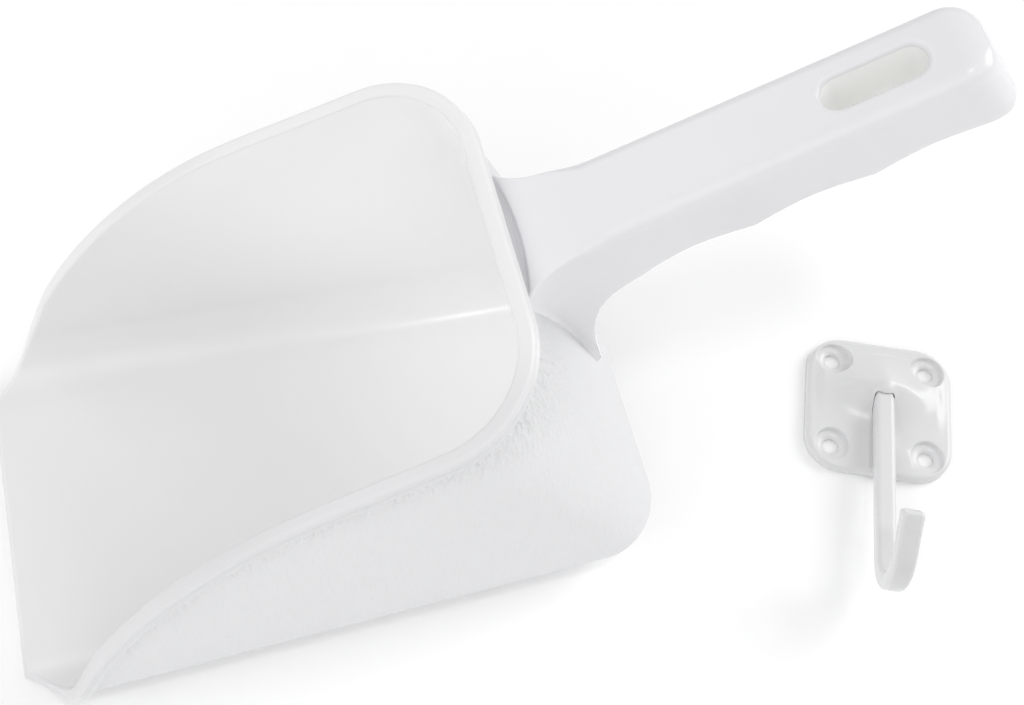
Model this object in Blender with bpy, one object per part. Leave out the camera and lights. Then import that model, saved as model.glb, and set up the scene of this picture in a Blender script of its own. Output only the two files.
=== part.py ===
"""Feed scoop with its wall hook.

Moulded plastic scoop: a deep bowl with a flat floor, a straight front lip,
a beaded rim and a rear wall square to the rim, a hollow handle with finger
grooves and a hanging slot, and a separate screw-on wall hook.

Metres, +Z up.  The scoop stands on its flat floor (Z = 0); the lip is at
the -X end and the handle rises to the +X end.  The origin is on the resting
plane, midway along the flat of the floor.  The hook lies on its back beside
the scoop, its plate on Z = 0.
"""
import math
from collections import namedtuple

import bmesh
import bpy
import numpy as np

MM = 0.001
GAP = 0.3 * MM                       # clearance between neighbouring pieces
SHARP_ANGLE = math.radians(40.0)     # edges bent more than this are shaded sharp
MIRROR = np.array((1.0, -1.0, 1.0))  # across the XZ plane
QUADRANTS = ((1, 1), (-1, 1), (-1, -1), (1, -1))   # signs of x and y, turning from +X to +Y


# ------------------------------------------------------------- materials
def plastic(name, colour, roughness):
    material = bpy.data.materials.new(name)
    material.use_nodes = True
    inputs = material.node_tree.nodes["Principled BSDF"].inputs
    inputs["Base Color"].default_value = (*colour, 1.0)
    inputs["Roughness"].default_value = roughness
    inputs["Metallic"].default_value = 0.0
    return material


# ----------------------------------------------------------- mesh helpers
def mesh_object(name, verts, faces, weld):
    mesh = bpy.data.meshes.new(name)
    mesh.from_pydata([tuple(float(c) for c in v) for v in verts], [], faces)
    bm = bmesh.new()
    bm.from_mesh(mesh)
    if weld:
        bmesh.ops.remove_doubles(bm, verts=bm.verts, dist=1e-6)
        bmesh.ops.dissolve_degenerate(bm, edges=bm.edges, dist=1e-7)
    bmesh.ops.recalc_face_normals(bm, faces=bm.faces)
    bm.to_mesh(mesh)
    bm.free()
    ob = bpy.data.objects.new(name, mesh)
    bpy.context.scene.collection.objects.link(ob)
    return ob


def make_piece(name, verts, faces, material):
    ob = mesh_object(name, verts, faces, weld=True)
    ob.data.materials.append(material)
    ob.data.shade_smooth()
    ob.data.set_sharp_from_angle(angle=SHARP_ANGLE)
    return ob


def make_cutter(name, verts, faces):
    ob = mesh_object(name, verts, faces, weld=False)
    ob.hide_render = True
    ob.display_type = 'WIRE'
    return ob


def subtract(ob, tool):
    modifier = ob.modifiers.new("difference_" + tool.name, 'BOOLEAN')
    modifier.operation = 'DIFFERENCE'
    modifier.solver = 'EXACT'
    modifier.object = tool


def join_loops(first, second):
    """Band of quads between two closed loops of vertex indices."""
    count = len(first)
    return [(first[j], first[(j + 1) % count], second[(j + 1) % count], second[j])
            for j in range(count)]


def loft(rings):
    """Closed tube through equal rings, capped at both ends."""
    count = len(rings[0])
    loops = [tuple(range(i * count, (i + 1) * count)) for i in range(len(rings))]
    faces = []
    for first, second in zip(loops[:-1], loops[1:]):
        faces += join_loops(first, second)
    faces += [loops[0], loops[-1]]
    return [p for ring in rings for p in ring], faces


def smooth01(x):
    """Smooth step from 0 at x = 0 to 1 at x = 1."""
    x = min(1.0, max(0.0, x))
    return x * x * (3.0 - 2.0 * x)


def unit(vector):
    return vector / np.linalg.norm(vector)


def angle_between(a, b):
    return math.acos(float(a @ b))


def slerp(a, b, t):
    angle = angle_between(a, b)
    return (math.sin((1 - t) * angle) * a + math.sin(t * angle) * b) / math.sin(angle)


# ------------------------------------------------------------- bowl sizes
# in the bowl's own frame: lip at x = 0, floor at z = 0
LIP_TO_ORIGIN = 100.0 * MM           # the origin sits this far behind the lip
RIM_SLOPE = math.radians(24.6)       # straight part of the rim above the floor
RIM_REAR_X = 154.4 * MM              # rear end of the rim, along the floor
RIM_REAR_Z = 134.0 * MM              # rear end of the rim, above the floor
HALF_REAR = 57.6 * MM                # half width over the walls at the rear rim
SIDE_TAPER = 0.033                   # the side walls close up towards the rear
SIDE_DRAFT = 0.006
REAR_DRAFT = 0.004
WALL = 2.6 * MM
CORNER_R = 20.0 * MM                 # outside radius of every bowl corner
CORNER_GROW = 10.0 * MM              # the upright rear corners open out towards the rim
GROW_RUN = 95.0 * MM                 # height over which they open out

# side view of the rim as (x, z): lip corner, steep cheek, shoulder, straight slope
RIM_LIP = (WALL / 2, 0.7 * MM)
RIM_LIP_PULL = (15.0 * MM, 1.0 * MM)           # curve handle of the lip
RIM_CHEEK = (27.5 * MM, 42.0 * MM)
CHEEK_DIRECTION = (0.46, 0.888)
CHEEK_PULLS = (19.0 * MM, 30.0 * MM)           # curve handles below and above the cheek
RIM_SHOULDER = (89.0 * MM, 105.5 * MM)
SHOULDER_PULL = 27.6 * MM
RIM_BLEND = 40.0 * MM                # from the shoulder's line to the rear end's line
RIM_OVERRUN = 40.0 * MM              # the profile runs on past the rear wall
RIM_CURVE_STEPS = 24
RIM_STRAIGHT_POINTS = 12
LIP_FALL = 0.15                      # slope of the rim line ahead of the lip

# rim bead
RIM_FLANGE = 2.0 * MM                # how far the rim bead stands out
RIM_DROP = 3.5 * MM                  # height of the bead's outer edge
SKIN_CLEAR = 0.45 * MM               # the outer skin stops this far below the bead
BEAD_START = 6.0 * MM                # wall height at which the flange begins to grow
BEAD_RUN = 34.0 * MM                 # further height by which it is full
# section of the full flange from inner to outer skin, as (out, up)
FLANGE_SECTION = (
    (-WALL + 0.2 * MM, 0.55 * MM), (-WALL + 0.9 * MM, 0.95 * MM),
    (RIM_FLANGE - 1.7 * MM, 0.95 * MM), (RIM_FLANGE - 0.75 * MM, 0.65 * MM),
    (RIM_FLANGE - 0.18 * MM, 0.0), (RIM_FLANGE, -0.9 * MM),
    (RIM_FLANGE, -RIM_DROP + 1.2 * MM), (RIM_FLANGE - 0.35 * MM, -RIM_DROP + 0.4 * MM),
    (RIM_FLANGE - 1.0 * MM, -RIM_DROP), (0.7 * MM, -RIM_DROP))

# mesh stations: x along the side walls behind the lip edge, then counts
SIDE_X = [q * MM for q in (0.0, 1.6, 3.6, 6.0, 9.0, 12.5, 17, 22, 28, 34, 41, 48, 56,
                           66, 78, 92, 108, 124, 140, 156, 172)]
SIDE_END_CLEAR = 4.0 * MM            # side stations stop this far before the corner
CORNER_STEPS = 6                     # round each upright rear corner
ACROSS_STEPS = 8                     # across the floor and rear wall
ARC_ROWS = 7                         # up the blend between floor and wall
WALL_ROWS = 5                        # up the rest of the wall
ROWS = ARC_ROWS + WALL_ROWS


# ------------------------------------------------------------- bowl shape
def bezier(p0, p1, p2, p3):
    out = []
    for i in range(RIM_CURVE_STEPS):
        t = i / RIM_CURVE_STEPS
        weights = (1 - t) ** 3, 3 * t * (1 - t) ** 2, 3 * t * t * (1 - t), t ** 3
        out.append(tuple(sum(w * p[axis] for w, p in zip(weights, (p0, p1, p2, p3)))
                         for axis in (0, 1)))
    return out


def step_from(point, direction, distance):
    return (point[0] + direction[0] * distance, point[1] + direction[1] * distance)


def rim_profile():
    """Side view of the rim as a polyline (x, z), lip to beyond the rear."""
    slope_direction = (math.cos(RIM_SLOPE), math.sin(RIM_SLOPE))
    below, above = CHEEK_PULLS
    points = bezier(RIM_LIP, RIM_LIP_PULL,
                    step_from(RIM_CHEEK, CHEEK_DIRECTION, -below), RIM_CHEEK)
    points += bezier(RIM_CHEEK, step_from(RIM_CHEEK, CHEEK_DIRECTION, above),
                     step_from(RIM_SHOULDER, slope_direction, -SHOULDER_PULL), RIM_SHOULDER)
    shoulder_x, shoulder_z = RIM_SHOULDER
    rise = math.tan(RIM_SLOPE)
    for x in np.linspace(shoulder_x, RIM_REAR_X + RIM_OVERRUN, RIM_STRAIGHT_POINTS):
        blend = smooth01((x - shoulder_x) / RIM_BLEND)
        from_shoulder = shoulder_z + (x - shoulder_x) * rise
        from_rear = RIM_REAR_Z + (x - RIM_REAR_X) * rise
        points.append((x, from_shoulder * (1 - blend) + from_rear * blend))
    return np.array(points)


RIM = rim_profile()


def rim_height(x):
    if x <= RIM[0, 0]:
        return RIM_LIP[1] + (x - RIM[0, 0]) * LIP_FALL
    return float(np.interp(x, RIM[:, 0], RIM[:, 1]))


# One upright line of the bowl: the centre of its floor blend, the wall's
# normal, the direction up the wall, the shift of the corner axis for each
# unit its radius grows, and 1 where that growth also moves the surface out.
Station = namedtuple("Station", "base normal up lean grow")


class Bowl:
    """Rounded wedge: flat floor, two side walls and a rear wall, all blended
    with one radius, and cut along the rim.  Each plane is a unit normal and
    its reach, the distance along that normal.  The side held here is at -Y."""

    def __init__(self):
        cos_rim, sin_rim = math.cos(RIM_SLOPE), math.sin(RIM_SLOPE)
        # rear end of the rim, along the rim and square to it
        rim_along = RIM_REAR_X * cos_rim + RIM_REAR_Z * sin_rim
        rim_square = -RIM_REAR_X * sin_rim + RIM_REAR_Z * cos_rim
        # side wall: |y| = at_zero + per_x * x + per_z * z
        per_x = -SIDE_DRAFT * sin_rim - SIDE_TAPER * cos_rim
        per_z = SIDE_DRAFT * cos_rim - SIDE_TAPER * sin_rim
        at_zero = HALF_REAR - SIDE_DRAFT * rim_square + SIDE_TAPER * rim_along
        length = math.sqrt(1 + per_x * per_x + per_z * per_z)
        self.floor_normal = np.array((0.0, 0.0, -1.0))
        self.side_normal = np.array((-per_x, -1.0, -per_z)) / length
        rear = np.array((cos_rim + REAR_DRAFT * sin_rim, 0.0,
                         sin_rim - REAR_DRAFT * cos_rim))
        self.rear_normal = unit(rear)
        self.rear_reach = (rim_along - REAR_DRAFT * rim_square) / np.linalg.norm(rear)
        # centre of the ball that touches all three planes
        normals = np.array((self.floor_normal, self.side_normal, self.rear_normal))
        reaches = np.array((0.0, at_zero / length, self.rear_reach))
        self.corner = np.linalg.solve(normals, reaches - CORNER_R)
        up = np.cross(self.side_normal, self.rear_normal)
        self.up = unit(up if up[2] > 0 else -up)
        rearward = np.cross(self.floor_normal, self.side_normal)
        self.rearward = unit(rearward if rearward[0] > 0 else -rearward)
        # moving the corner's axis by -widen widens its radius by one unit
        # and keeps it tangent to both walls
        self.widen = np.linalg.solve(np.array((self.side_normal, self.rear_normal, self.up)),
                                     np.array((1.0, 1.0, 0.0)))

    def stations(self, side_x):
        """Stations from the front of the -Y side, round its rear corner and
        across the rear wall to the +Y corner."""
        out = []
        front, rear = side_x[0], self.corner[0]
        for x in side_x:
            lean = -(self.widen - self.side_normal) * ((x - front) / (rear - front)) ** 3
            base = self.corner + self.rearward * ((x - rear) / self.rearward[0])
            out.append(Station(base, self.side_normal, self.up, lean, 0.0))
        for m in range(1, CORNER_STEPS):
            normal = slerp(self.side_normal, self.rear_normal, m / CORNER_STEPS)
            out.append(Station(self.corner, normal, self.up, -self.widen, 1.0))
        lean = -(self.widen - self.rear_normal)
        for k in range(ACROSS_STEPS + 1):
            # 1 at the -Y corner, mirrored at the +Y corner
            across = (1 - k / ACROSS_STEPS) + MIRROR * (k / ACROSS_STEPS)
            out.append(Station(self.corner * across, self.rear_normal,
                               unit(self.up * across), lean * across, 0.0))
        return out

    def arc_length(self, station):
        return angle_between(self.floor_normal, station.normal) * CORNER_R

    def centre_and_normal(self, station, pos):
        """At a distance pos up from the floor tangent, the centre and normal
        such that the surface at any offset is centre + normal * offset."""
        arc = self.arc_length(station)
        if pos <= arc:
            return station.base, slerp(self.floor_normal, station.normal, pos / arc)
        growth = CORNER_GROW * smooth01((pos - arc) / GROW_RUN)
        centre = station.base + station.up * (pos - arc) + station.lean * growth
        return centre + station.normal * (station.grow * growth), station.normal

    def point(self, station, pos, offset=CORNER_R):
        centre, normal = self.centre_and_normal(station, pos)
        return centre + normal * offset

    def rim_pos(self, station):
        """Distance up the station at which it meets the rim."""
        def below_rim(pos):
            p = self.point(station, pos)
            return p[2] < rim_height(p[0])
        step, high = 1.0 * MM, 0.0
        while below_rim(high):
            high += step
        low = max(0.0, high - step)
        for _ in range(40):
            middle = 0.5 * (low + high)
            if below_rim(middle):
                low = middle
            else:
                high = middle
        return 0.5 * (low + high)

    def row_pos(self, station, row, end):
        """Distance up the station of a mesh row, the last row being at end."""
        arc = self.arc_length(station)
        arc_end = min(1.0, end / (1.6 * arc)) * arc
        if row <= ARC_ROWS:
            return arc_end * row / ARC_ROWS
        return arc_end + (end - arc_end) * (row - ARC_ROWS) / WALL_ROWS

    def column(self, station, end, offset):
        return [self.point(station, self.row_pos(station, row, end), offset)
                for row in range(ROWS + 1)]


BOWL = Bowl()


# -------------------------------------------------------------- bowl mesh
def bead(flange):
    """Rim section between the inner and outer skins, as (out, up) pairs.
    flange 0 is a plain half round, 1 the full flange."""
    count = len(FLANGE_SECTION)
    out = []
    for k, full in enumerate(FLANGE_SECTION):
        angle = math.pi * (1.0 - (k + 1) / (count + 1))
        half_round = (-WALL / 2 + WALL / 2 * math.cos(angle), WALL / 2 * math.sin(angle))
        out.append(tuple(h * (1 - flange) + f * flange for h, f in zip(half_round, full)))
    return out


def blend_across(p):
    """Points strictly between p and its mirror image."""
    return [p * (1 - k / ACROSS_STEPS) + p * MIRROR * (k / ACROSS_STEPS)
            for k in range(1, ACROSS_STEPS)]


def bowl_skin(columns, last_side, verts, faces):
    """Add one skin and return its open edge as a loop: down the -Y side from
    its rear corner, along the lip, up the +Y side and back across the rear."""
    def add(p):
        verts.append(p)
        return len(verts) - 1

    near = [[add(p) for p in column] for column in columns[:last_side + 1]]
    far = [[add(p * MIRROR) for p in column] for column in columns[:last_side + 1]]
    floor = []
    for i in range(last_side + 1):
        middle = [add(p) for p in blend_across(columns[i][0])]
        floor.append([near[i][0]] + middle + [far[i][0]])
    corner_columns = columns[last_side + 1:last_side + CORNER_STEPS]
    rear_columns = columns[last_side + CORNER_STEPS:]
    near_corner = [near[-1]] + [[near[-1][0]] + [add(p) for p in column[1:]]
                                for column in corner_columns]
    rear = [[floor[-1][k]] + [add(p) for p in column[1:]]
            for k, column in enumerate(rear_columns)]
    far_corner = [far[-1]] + [[far[-1][0]] + [add(p * MIRROR) for p in column[1:]]
                              for column in corner_columns]
    near_corner.append(rear[0])
    far_corner.append(rear[-1])
    for grid in (near, far, near_corner, far_corner, rear):
        for left, right in zip(grid[:-1], grid[1:]):
            for r in range(ROWS):
                # corner columns share their lowest vertex, which leaves triangles
                face = tuple(dict.fromkeys((left[r], right[r], right[r + 1], left[r + 1])))
                faces.append(face)
    for front, back in zip(floor[:-1], floor[1:]):
        for k in range(ACROSS_STEPS):
            faces.append((front[k], back[k], back[k + 1], front[k + 1]))

    def side_edge(side, corner):
        return side[0] + [c[-1] for c in side[1:]] + [c[-1] for c in corner[1:-1]]

    return (side_edge(near, near_corner)[::-1] + floor[0][1:-1]
            + side_edge(far, far_corner) + [c[-1] for c in rear[::-1]])


def edge_frames(stations, last_side, rim_at, rim_frames):
    """Frames (point, out, up, flange) of the open edge, in bowl_skin's order."""
    forward = np.array((-1.0, 0.0, 0.0))
    first_rear = last_side + CORNER_STEPS
    side = []
    for row in range(ROWS):
        centre, normal = BOWL.centre_and_normal(
            stations[0], BOWL.row_pos(stations[0], row, rim_at[0]))
        side.append((centre + normal * CORNER_R, normal, forward, 0.0))
    point, normal, up, _ = rim_frames[0]
    side.append((point, normal, unit(up + forward), 0.0))
    side += rim_frames[1:first_rear]
    lip = [(p, BOWL.floor_normal, forward, 0.0) for p in blend_across(side[0][0])]
    mirrored = [(p * MIRROR, out * MIRROR, up * MIRROR, flange)
                for p, out, up, flange in side]
    return side[::-1] + lip + mirrored + rim_frames[first_rear:][::-1]


def bowl_mesh():
    side_x = [x + WALL / 2 for x in SIDE_X if x < BOWL.corner[0] - SIDE_END_CLEAR]
    side_x.append(BOWL.corner[0])
    last_side = len(side_x) - 1
    stations = BOWL.stations(side_x)
    rim_at = [BOWL.rim_pos(s) for s in stations]
    rim_points = [BOWL.point(s, pos) for s, pos in zip(stations, rim_at)]

    inner, outer, rim_frames = [], [], []
    for i, (station, pos) in enumerate(zip(stations, rim_at)):
        normal = BOWL.centre_and_normal(station, pos)[1]
        ahead = rim_points[min(len(rim_points) - 1, i + 1)]
        up = unit(np.cross(normal, unit(ahead - rim_points[max(0, i - 1)])))
        wall_up = rim_points[i] - BOWL.point(station, pos - 0.5 * MM)
        if up @ wall_up < 0:
            up = -up
        flange = smooth01((pos - BEAD_START) / BEAD_RUN)
        # the outer skin stops under the flange, measured along the leaning wall
        slope = max(0.55, float(unit(wall_up) @ up))
        outer_end = pos - (RIM_DROP + SKIN_CLEAR) * flange / slope
        inner.append(BOWL.column(station, pos, CORNER_R - WALL))
        outer.append(BOWL.column(station, outer_end, CORNER_R))
        rim_frames.append((rim_points[i], normal, up, flange))

    verts, faces = [], []
    inner_edge = bowl_skin(inner, last_side, verts, faces)
    outer_edge = bowl_skin(outer, last_side, verts, faces)
    first_bead = len(verts)
    for point, out, up, flange in edge_frames(stations, last_side, rim_at, rim_frames):
        verts += [point + out * o + up * h for o, h in bead(flange)]
    count = len(FLANGE_SECTION)
    bead_loops = [[first_bead + j * count + k for j in range(len(inner_edge))]
                  for k in range(count)]
    loops = [inner_edge] + bead_loops + [outer_edge]
    for first, second in zip(loops[:-1], loops[1:]):
        faces += join_loops(first, second)
    shift = np.array((-LIP_TO_ORIGIN, 0.0, 0.0))
    return [v + shift for v in verts], faces


# ----------------------------------------------------------- handle sizes
# in its own frame: along the top face, y across, down square to the top face
HANDLE_SLOPE = math.radians(26.0)
HANDLE_ROOT = (167.6 * MM, 132.8 * MM)   # x and z of the root mark, bowl frame
HANDLE_END = 122.4 * MM              # length of the top face from the root mark
HANDLE_HALF = 13.4 * MM
HANDLE_NARROWING = 0.9 * MM          # loss of half width by the free end
HANDLE_DEPTH = 26.6 * MM
END_RAKE = 0.20                      # the end face leans out towards the underside
RAKE_START = 16.0 * MM               # the lean begins this far before the end
RAKE_RUN = 12.0 * MM
RAKE_PIVOT = 4.0 * MM                # depth that the lean leaves in place
END_R = 9.0 * MM
END_SIDE, END_FACE = 0.8, 0.45       # share of the end rounding on sides, top and bottom
GROOVE_RISE = 3.0 * MM               # height of the ridges between the fingers
GROOVE_PITCH = 34.6 * MM
GROOVE_FIRST = 50.2 * MM
FLARE_HALF = 23.0 * MM               # half width of the top where it meets the wall
FLARE_FADE = 7.0 * MM
SCALLOP = 2.4 * MM                   # crescent between the top face and the rear rim
SCALLOP_DEEP = 2.8 * MM              # how far the crescent cuts down at the wall
GUSSET_DEPTH = 88.0 * MM             # how far the keel runs down the rear wall
GUSSET_FADE = 8.2 * MM
KEEL_HALF = 3.2 * MM                 # half width of the underside at the wall
GRIP_TUCK = 1.4 * MM                 # the grip's underside is narrower by this each side
FLANK_HOLLOW = 0.9                   # how concave the flanks are near the wall
EDGE_CRISP = 0.9 * MM                # edge radius along the flared root
EDGE_GRIP = 4.2 * MM                 # edge radius along the top of the grip
LOW_EDGE_GRIP, LOW_EDGE_ROOT = 3.4, 2.4        # underside edge radii, mm
EDGE_LEAST = 0.6 * MM
SHELL = 2.4 * MM
CAVITY = (9.0 * MM, 113.0 * MM)      # hollow part of the handle, along
CAVITY_OVERRUN = 6.0 * MM            # the hollow's cutter passes the underside
SLOT_MID = 92.8 * MM
SLOT_LEN = 28.5 * MM
SLOT_WID = 9.8 * MM
COLLAR = 2.0 * MM                    # wall left round the slot inside the hollow
COVER_T = 2.4 * MM
COVER_SUNK = 0.7 * MM                # the cover lies this far above the underside

# mesh stations and counts
ROOT_STATIONS = (0.8, 1.3, 1.7, 2.1, 2.6, 3.6, 5.0, 6.6, 8.4, 10.5,
                 13.5, 17.5, 22.0, 27.0)       # mm from the root face
GRIP_STEP = 3.1 * MM
END_STATIONS = (9.0, 6.8, 4.8, 3.0, 1.6, 0.6, 0.05)   # mm before the end
END_CLEAR = 1.5 * MM                 # grip stations stop this far before the rounding
TOP_POINTS = 9                       # points across the top between the edges
SHELL_ARC, CAVITY_ARC = 4, 3         # steps round each edge
SLOT_ARC = 10                        # steps round each end of the slot
CAVITY_STATIONS, COVER_STATIONS = 26, 38


# ----------------------------------------------------------- handle shape
ALONG_AXIS = np.array((math.cos(HANDLE_SLOPE), 0.0, math.sin(HANDLE_SLOPE)))
UP_AXIS = np.array((-math.sin(HANDLE_SLOPE), 0.0, math.cos(HANDLE_SLOPE)))
ROOT_MARK = np.array((HANDLE_ROOT[0] - LIP_TO_ORIGIN, 0.0, HANDLE_ROOT[1]))


def handle_point(along, y, down):
    return ROOT_MARK + ALONG_AXIS * along - UP_AXIS * down + np.array((0.0, y, 0.0))


def wall_along(y, down):
    """Where a line along the handle meets the outside of the rear wall."""
    p = handle_point(0.0, y, down) + np.array((LIP_TO_ORIGIN, 0, 0))
    return (BOWL.rear_reach - float(BOWL.rear_normal @ p)) / float(BOWL.rear_normal @ ALONG_AXIS)


WALL_ALONG = wall_along(0.0, 20 * MM)


def root_fade(along, length):
    """1 at the rear wall, falling to 0 where the plain grip begins."""
    return math.exp(-max(0.0, along - WALL_ALONG) / length)


def half_top(along):
    return (HANDLE_HALF - HANDLE_NARROWING * smooth01(along / HANDLE_END)
            + (FLARE_HALF - HANDLE_HALF) * root_fade(along, FLARE_FADE))


def ridge_height(along):
    """Height of the finger ridges along the underside."""
    if along < GROOVE_FIRST - GROOVE_PITCH:
        return GROOVE_RISE
    pitches = (along - GROOVE_FIRST) / GROOVE_PITCH
    off_ridge = abs((pitches + 0.5) % 1.0 - 0.5) * 2.0      # 0 on a ridge, 1 mid groove
    return GROOVE_RISE * (1.0 - math.sin(off_ridge * math.pi / 2)) ** 0.9


def underside(along):
    """Depth of the underside below the top face."""
    keel = (GUSSET_DEPTH - HANDLE_DEPTH - GROOVE_RISE) * root_fade(along, GUSSET_FADE)
    return HANDLE_DEPTH + ridge_height(along) + keel


def end_round(along):
    """How far the outline has drawn in, rounding the free end."""
    left = HANDLE_END - along
    if left >= END_R:
        return 0.0
    return END_R - math.sqrt(max(0.0, END_R ** 2 - (END_R - left) ** 2))


def crescent_depth(along, y):
    """Depth of the crescent hollow cut in the top face beside the rim."""
    t = min(1.0, abs(y) / half_top(along))
    fade = 1.0 - smooth01((along - WALL_ALONG - 1.2 * MM) / (1.4 * MM))
    return SCALLOP_DEEP * (1.0 - t ** 4) * fade


def crescent_setback(along, y):
    """How far the crescent's edge stands back from the wall at y."""
    if along < WALL_ALONG + 0.5 * MM:
        return 0.0
    t = min(1.0, abs(y) / half_top(along))
    fade = math.exp(-max(0.0, along - WALL_ALONG - 3 * MM) / (9.0 * MM))
    return SCALLOP * (1.0 - t * t) * fade


def right_section(along, inset, arc_steps, extra_depth):
    """The +Y side of the handle's outline as (y, down), top to bottom, and
    the half width and depth at which its flat top begins."""
    root = root_fade(along, FLARE_FADE)
    drawn_in = end_round(along)
    top_half = half_top(along) - inset - drawn_in * END_SIDE
    low_half = (HANDLE_HALF * (1 - root) + KEEL_HALF * root - GRIP_TUCK * (1 - root)
                - inset - drawn_in * END_SIDE)
    top = inset + drawn_in * END_FACE
    bottom = underside(along) - drawn_in * END_FACE + extra_depth
    grip = smooth01((along - WALL_ALONG - 15 * MM) / (12 * MM))
    top_r = max(EDGE_LEAST, EDGE_GRIP * grip + EDGE_CRISP * (1 - grip) - inset)
    low_r = (LOW_EDGE_GRIP * (1 - root) + LOW_EDGE_ROOT * root) * MM
    low_r = max(EDGE_LEAST, min(low_r - inset, low_half - 0.3 * MM))
    angles = [math.pi / 2 * i / arc_steps for i in range(arc_steps + 1)]
    points = []
    for a in angles:
        y = top_half - top_r + top_r * math.sin(a)
        hollow = crescent_depth(along, y) * math.cos(a)
        points.append((y, top + hollow + top_r - top_r * math.cos(a)))
    for t in (0.25, 0.5, 0.75):
        # slightly concave flank near the wall, straight on the grip
        y = (top_half + (low_half - top_half) * t
             - root * (top_half - low_half) * FLANK_HOLLOW * t * (1 - t))
        points.append((y, top + top_r + (bottom - low_r - top - top_r) * t))
    for a in angles:
        points.append((low_half - low_r + low_r * math.cos(a),
                       bottom - low_r + low_r * math.sin(a)))
    return points, top_half - top_r, top


def section(along, inset, arc_steps, extra_depth):
    """Closed outline (y, down) of the handle; the last TOP_POINTS cross the top."""
    right, flat_half, top = right_section(along, inset, arc_steps, extra_depth)
    across = []
    for i in range(1, TOP_POINTS + 1):
        y = -flat_half + 2.0 * flat_half * i / (TOP_POINTS + 1)
        across.append((y, top + crescent_depth(along, y)))
    return right + [(-y, down) for y, down in reversed(right)] + across


def handle_rings(stations, inset, arc_steps, extra_depth):
    rings = []
    for along in stations:
        rake = END_RAKE * smooth01((along - HANDLE_END + RAKE_START) / RAKE_RUN)
        outline = section(along, inset, arc_steps, extra_depth)
        ring = []
        for i, (y, down) in enumerate(outline):
            on_top = i >= len(outline) - TOP_POINTS
            back = crescent_setback(along, y) if on_top else 0.0
            ring.append(handle_point(along + back + rake * (down - RAKE_PIVOT), y, down))
        rings.append(ring)
    return rings


def hollow_half(along, down):
    """Half width of the hollow, a little tight because its cutter runs
    straight between stations."""
    right = right_section(along, SHELL, CAVITY_ARC, CAVITY_OVERRUN)[0]
    widths, depths = zip(*right)
    return float(np.interp(down, depths, widths)) - 0.05 * MM


def slot_prism(grow, top, bottom):
    """Prism of the hanging slot, its outline grown by an offset."""
    radius = SLOT_WID / 2 + grow
    reach = SLOT_LEN / 2 - SLOT_WID / 2
    outline = []
    for side in (1, -1):
        for i in range(SLOT_ARC + 1):
            a = -math.pi / 2 + math.pi * i / SLOT_ARC
            outline.append((SLOT_MID + side * (reach + radius * math.cos(a)),
                            side * radius * math.sin(a)))
    return loft([[handle_point(along, y, down) for along, y in outline]
                 for down in (top, bottom)])


def build_shell(material):
    root = WALL_ALONG + GAP
    stations = [root + q * MM for q in ROOT_STATIONS]
    along = stations[-1] + GRIP_STEP
    while along < HANDLE_END - END_R - END_CLEAR:
        stations.append(along)
        along += GRIP_STEP
    stations += [HANDLE_END - q * MM for q in END_STATIONS]
    # the root ring lies on the rear wall
    root_ring = [handle_point(wall_along(y, down) + GAP, y, down)
                 for y, down in section(root, 0.0, SHELL_ARC, 0.0)]
    rings = [root_ring] + handle_rings(stations, 0.0, SHELL_ARC, 0.0)
    shell = make_piece("handle_shell", *loft(rings), material)

    cavity_rings = handle_rings(np.linspace(*CAVITY, CAVITY_STATIONS), SHELL,
                                CAVITY_ARC, CAVITY_OVERRUN)
    cavity = make_cutter("handle_cavity", *loft(cavity_rings))
    collar = make_cutter("handle_collar", *slot_prism(COLLAR, -6 * MM, 44 * MM))
    subtract(cavity, collar)
    subtract(shell, cavity)
    slot = make_cutter("handle_slot", *slot_prism(0.0, -8 * MM, 50 * MM))
    subtract(shell, slot)


def build_cover(material):
    """Underside cover, dropped into the open side of the shell."""
    rings = []
    for along in np.linspace(CAVITY[0] + GAP, CAVITY[1] - GAP, COVER_STATIONS):
        low = underside(along) - COVER_SUNK
        top = low - COVER_T
        top_half = hollow_half(along, top) - GAP
        low_half = hollow_half(along, low) - GAP
        right = [(top_half - 0.5 * MM, top), (top_half, top + 0.5 * MM),
                 (low_half, low - 0.7 * MM), (low_half - 0.9 * MM, low - 0.1 * MM),
                 (low_half - 3.0 * MM, low)]
        ring = right + [(-y, down) for y, down in reversed(right)]
        rings.append([handle_point(along, y, down) for y, down in ring])
    cover = make_piece("handle_grip_cover", *loft(rings), material)
    port = make_cutter("cover_port", *slot_prism(COLLAR + GAP, -8 * MM, 50 * MM))
    subtract(cover, port)


# ------------------------------------------------------------------ hook
# in its own frame: x across, y up the wall, z out of the wall
HOOK_AT = (0.1986, -0.0213, 0.0)
HOOK_TURN = math.radians(-22.0)
PLATE = 52.0 * MM
PLATE_R = 12.8 * MM
PLATE_T = 3.6 * MM
PLATE_EDGE = PLATE / 2 - 2.0 * MM    # half size of the area that may rise
PLATE_SIDE_STEPS = 6                 # round each corner and along each side
PLATE_RINGS = 13                     # from that area's edge to the middle
# softened edge of the plate, as (inset from the outline, z)
PLATE_LEVELS = ((0.5 * MM, 0.0), (0.0, 0.5 * MM), (0.0, PLATE_T - 1.4 * MM),
                (0.4 * MM, PLATE_T - 0.5 * MM), (1.4 * MM, PLATE_T))
HUMP_H = 8.5 * MM
RIDGE_Y = 6.5 * MM                   # ridge of the raised part, above the plate's middle
HUMP_BLEND = 1.5 * MM                # height over which roof and spine merge
HOLE_PITCH = 33.8 * MM
HOLE_D = 5.7 * MM
HOLE_SIDES = 28
RECESS_D = 11.6 * MM
RECESS_DEEP = 1.3 * MM
RECESS_Z = PLATE_T - RECESS_DEEP
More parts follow.
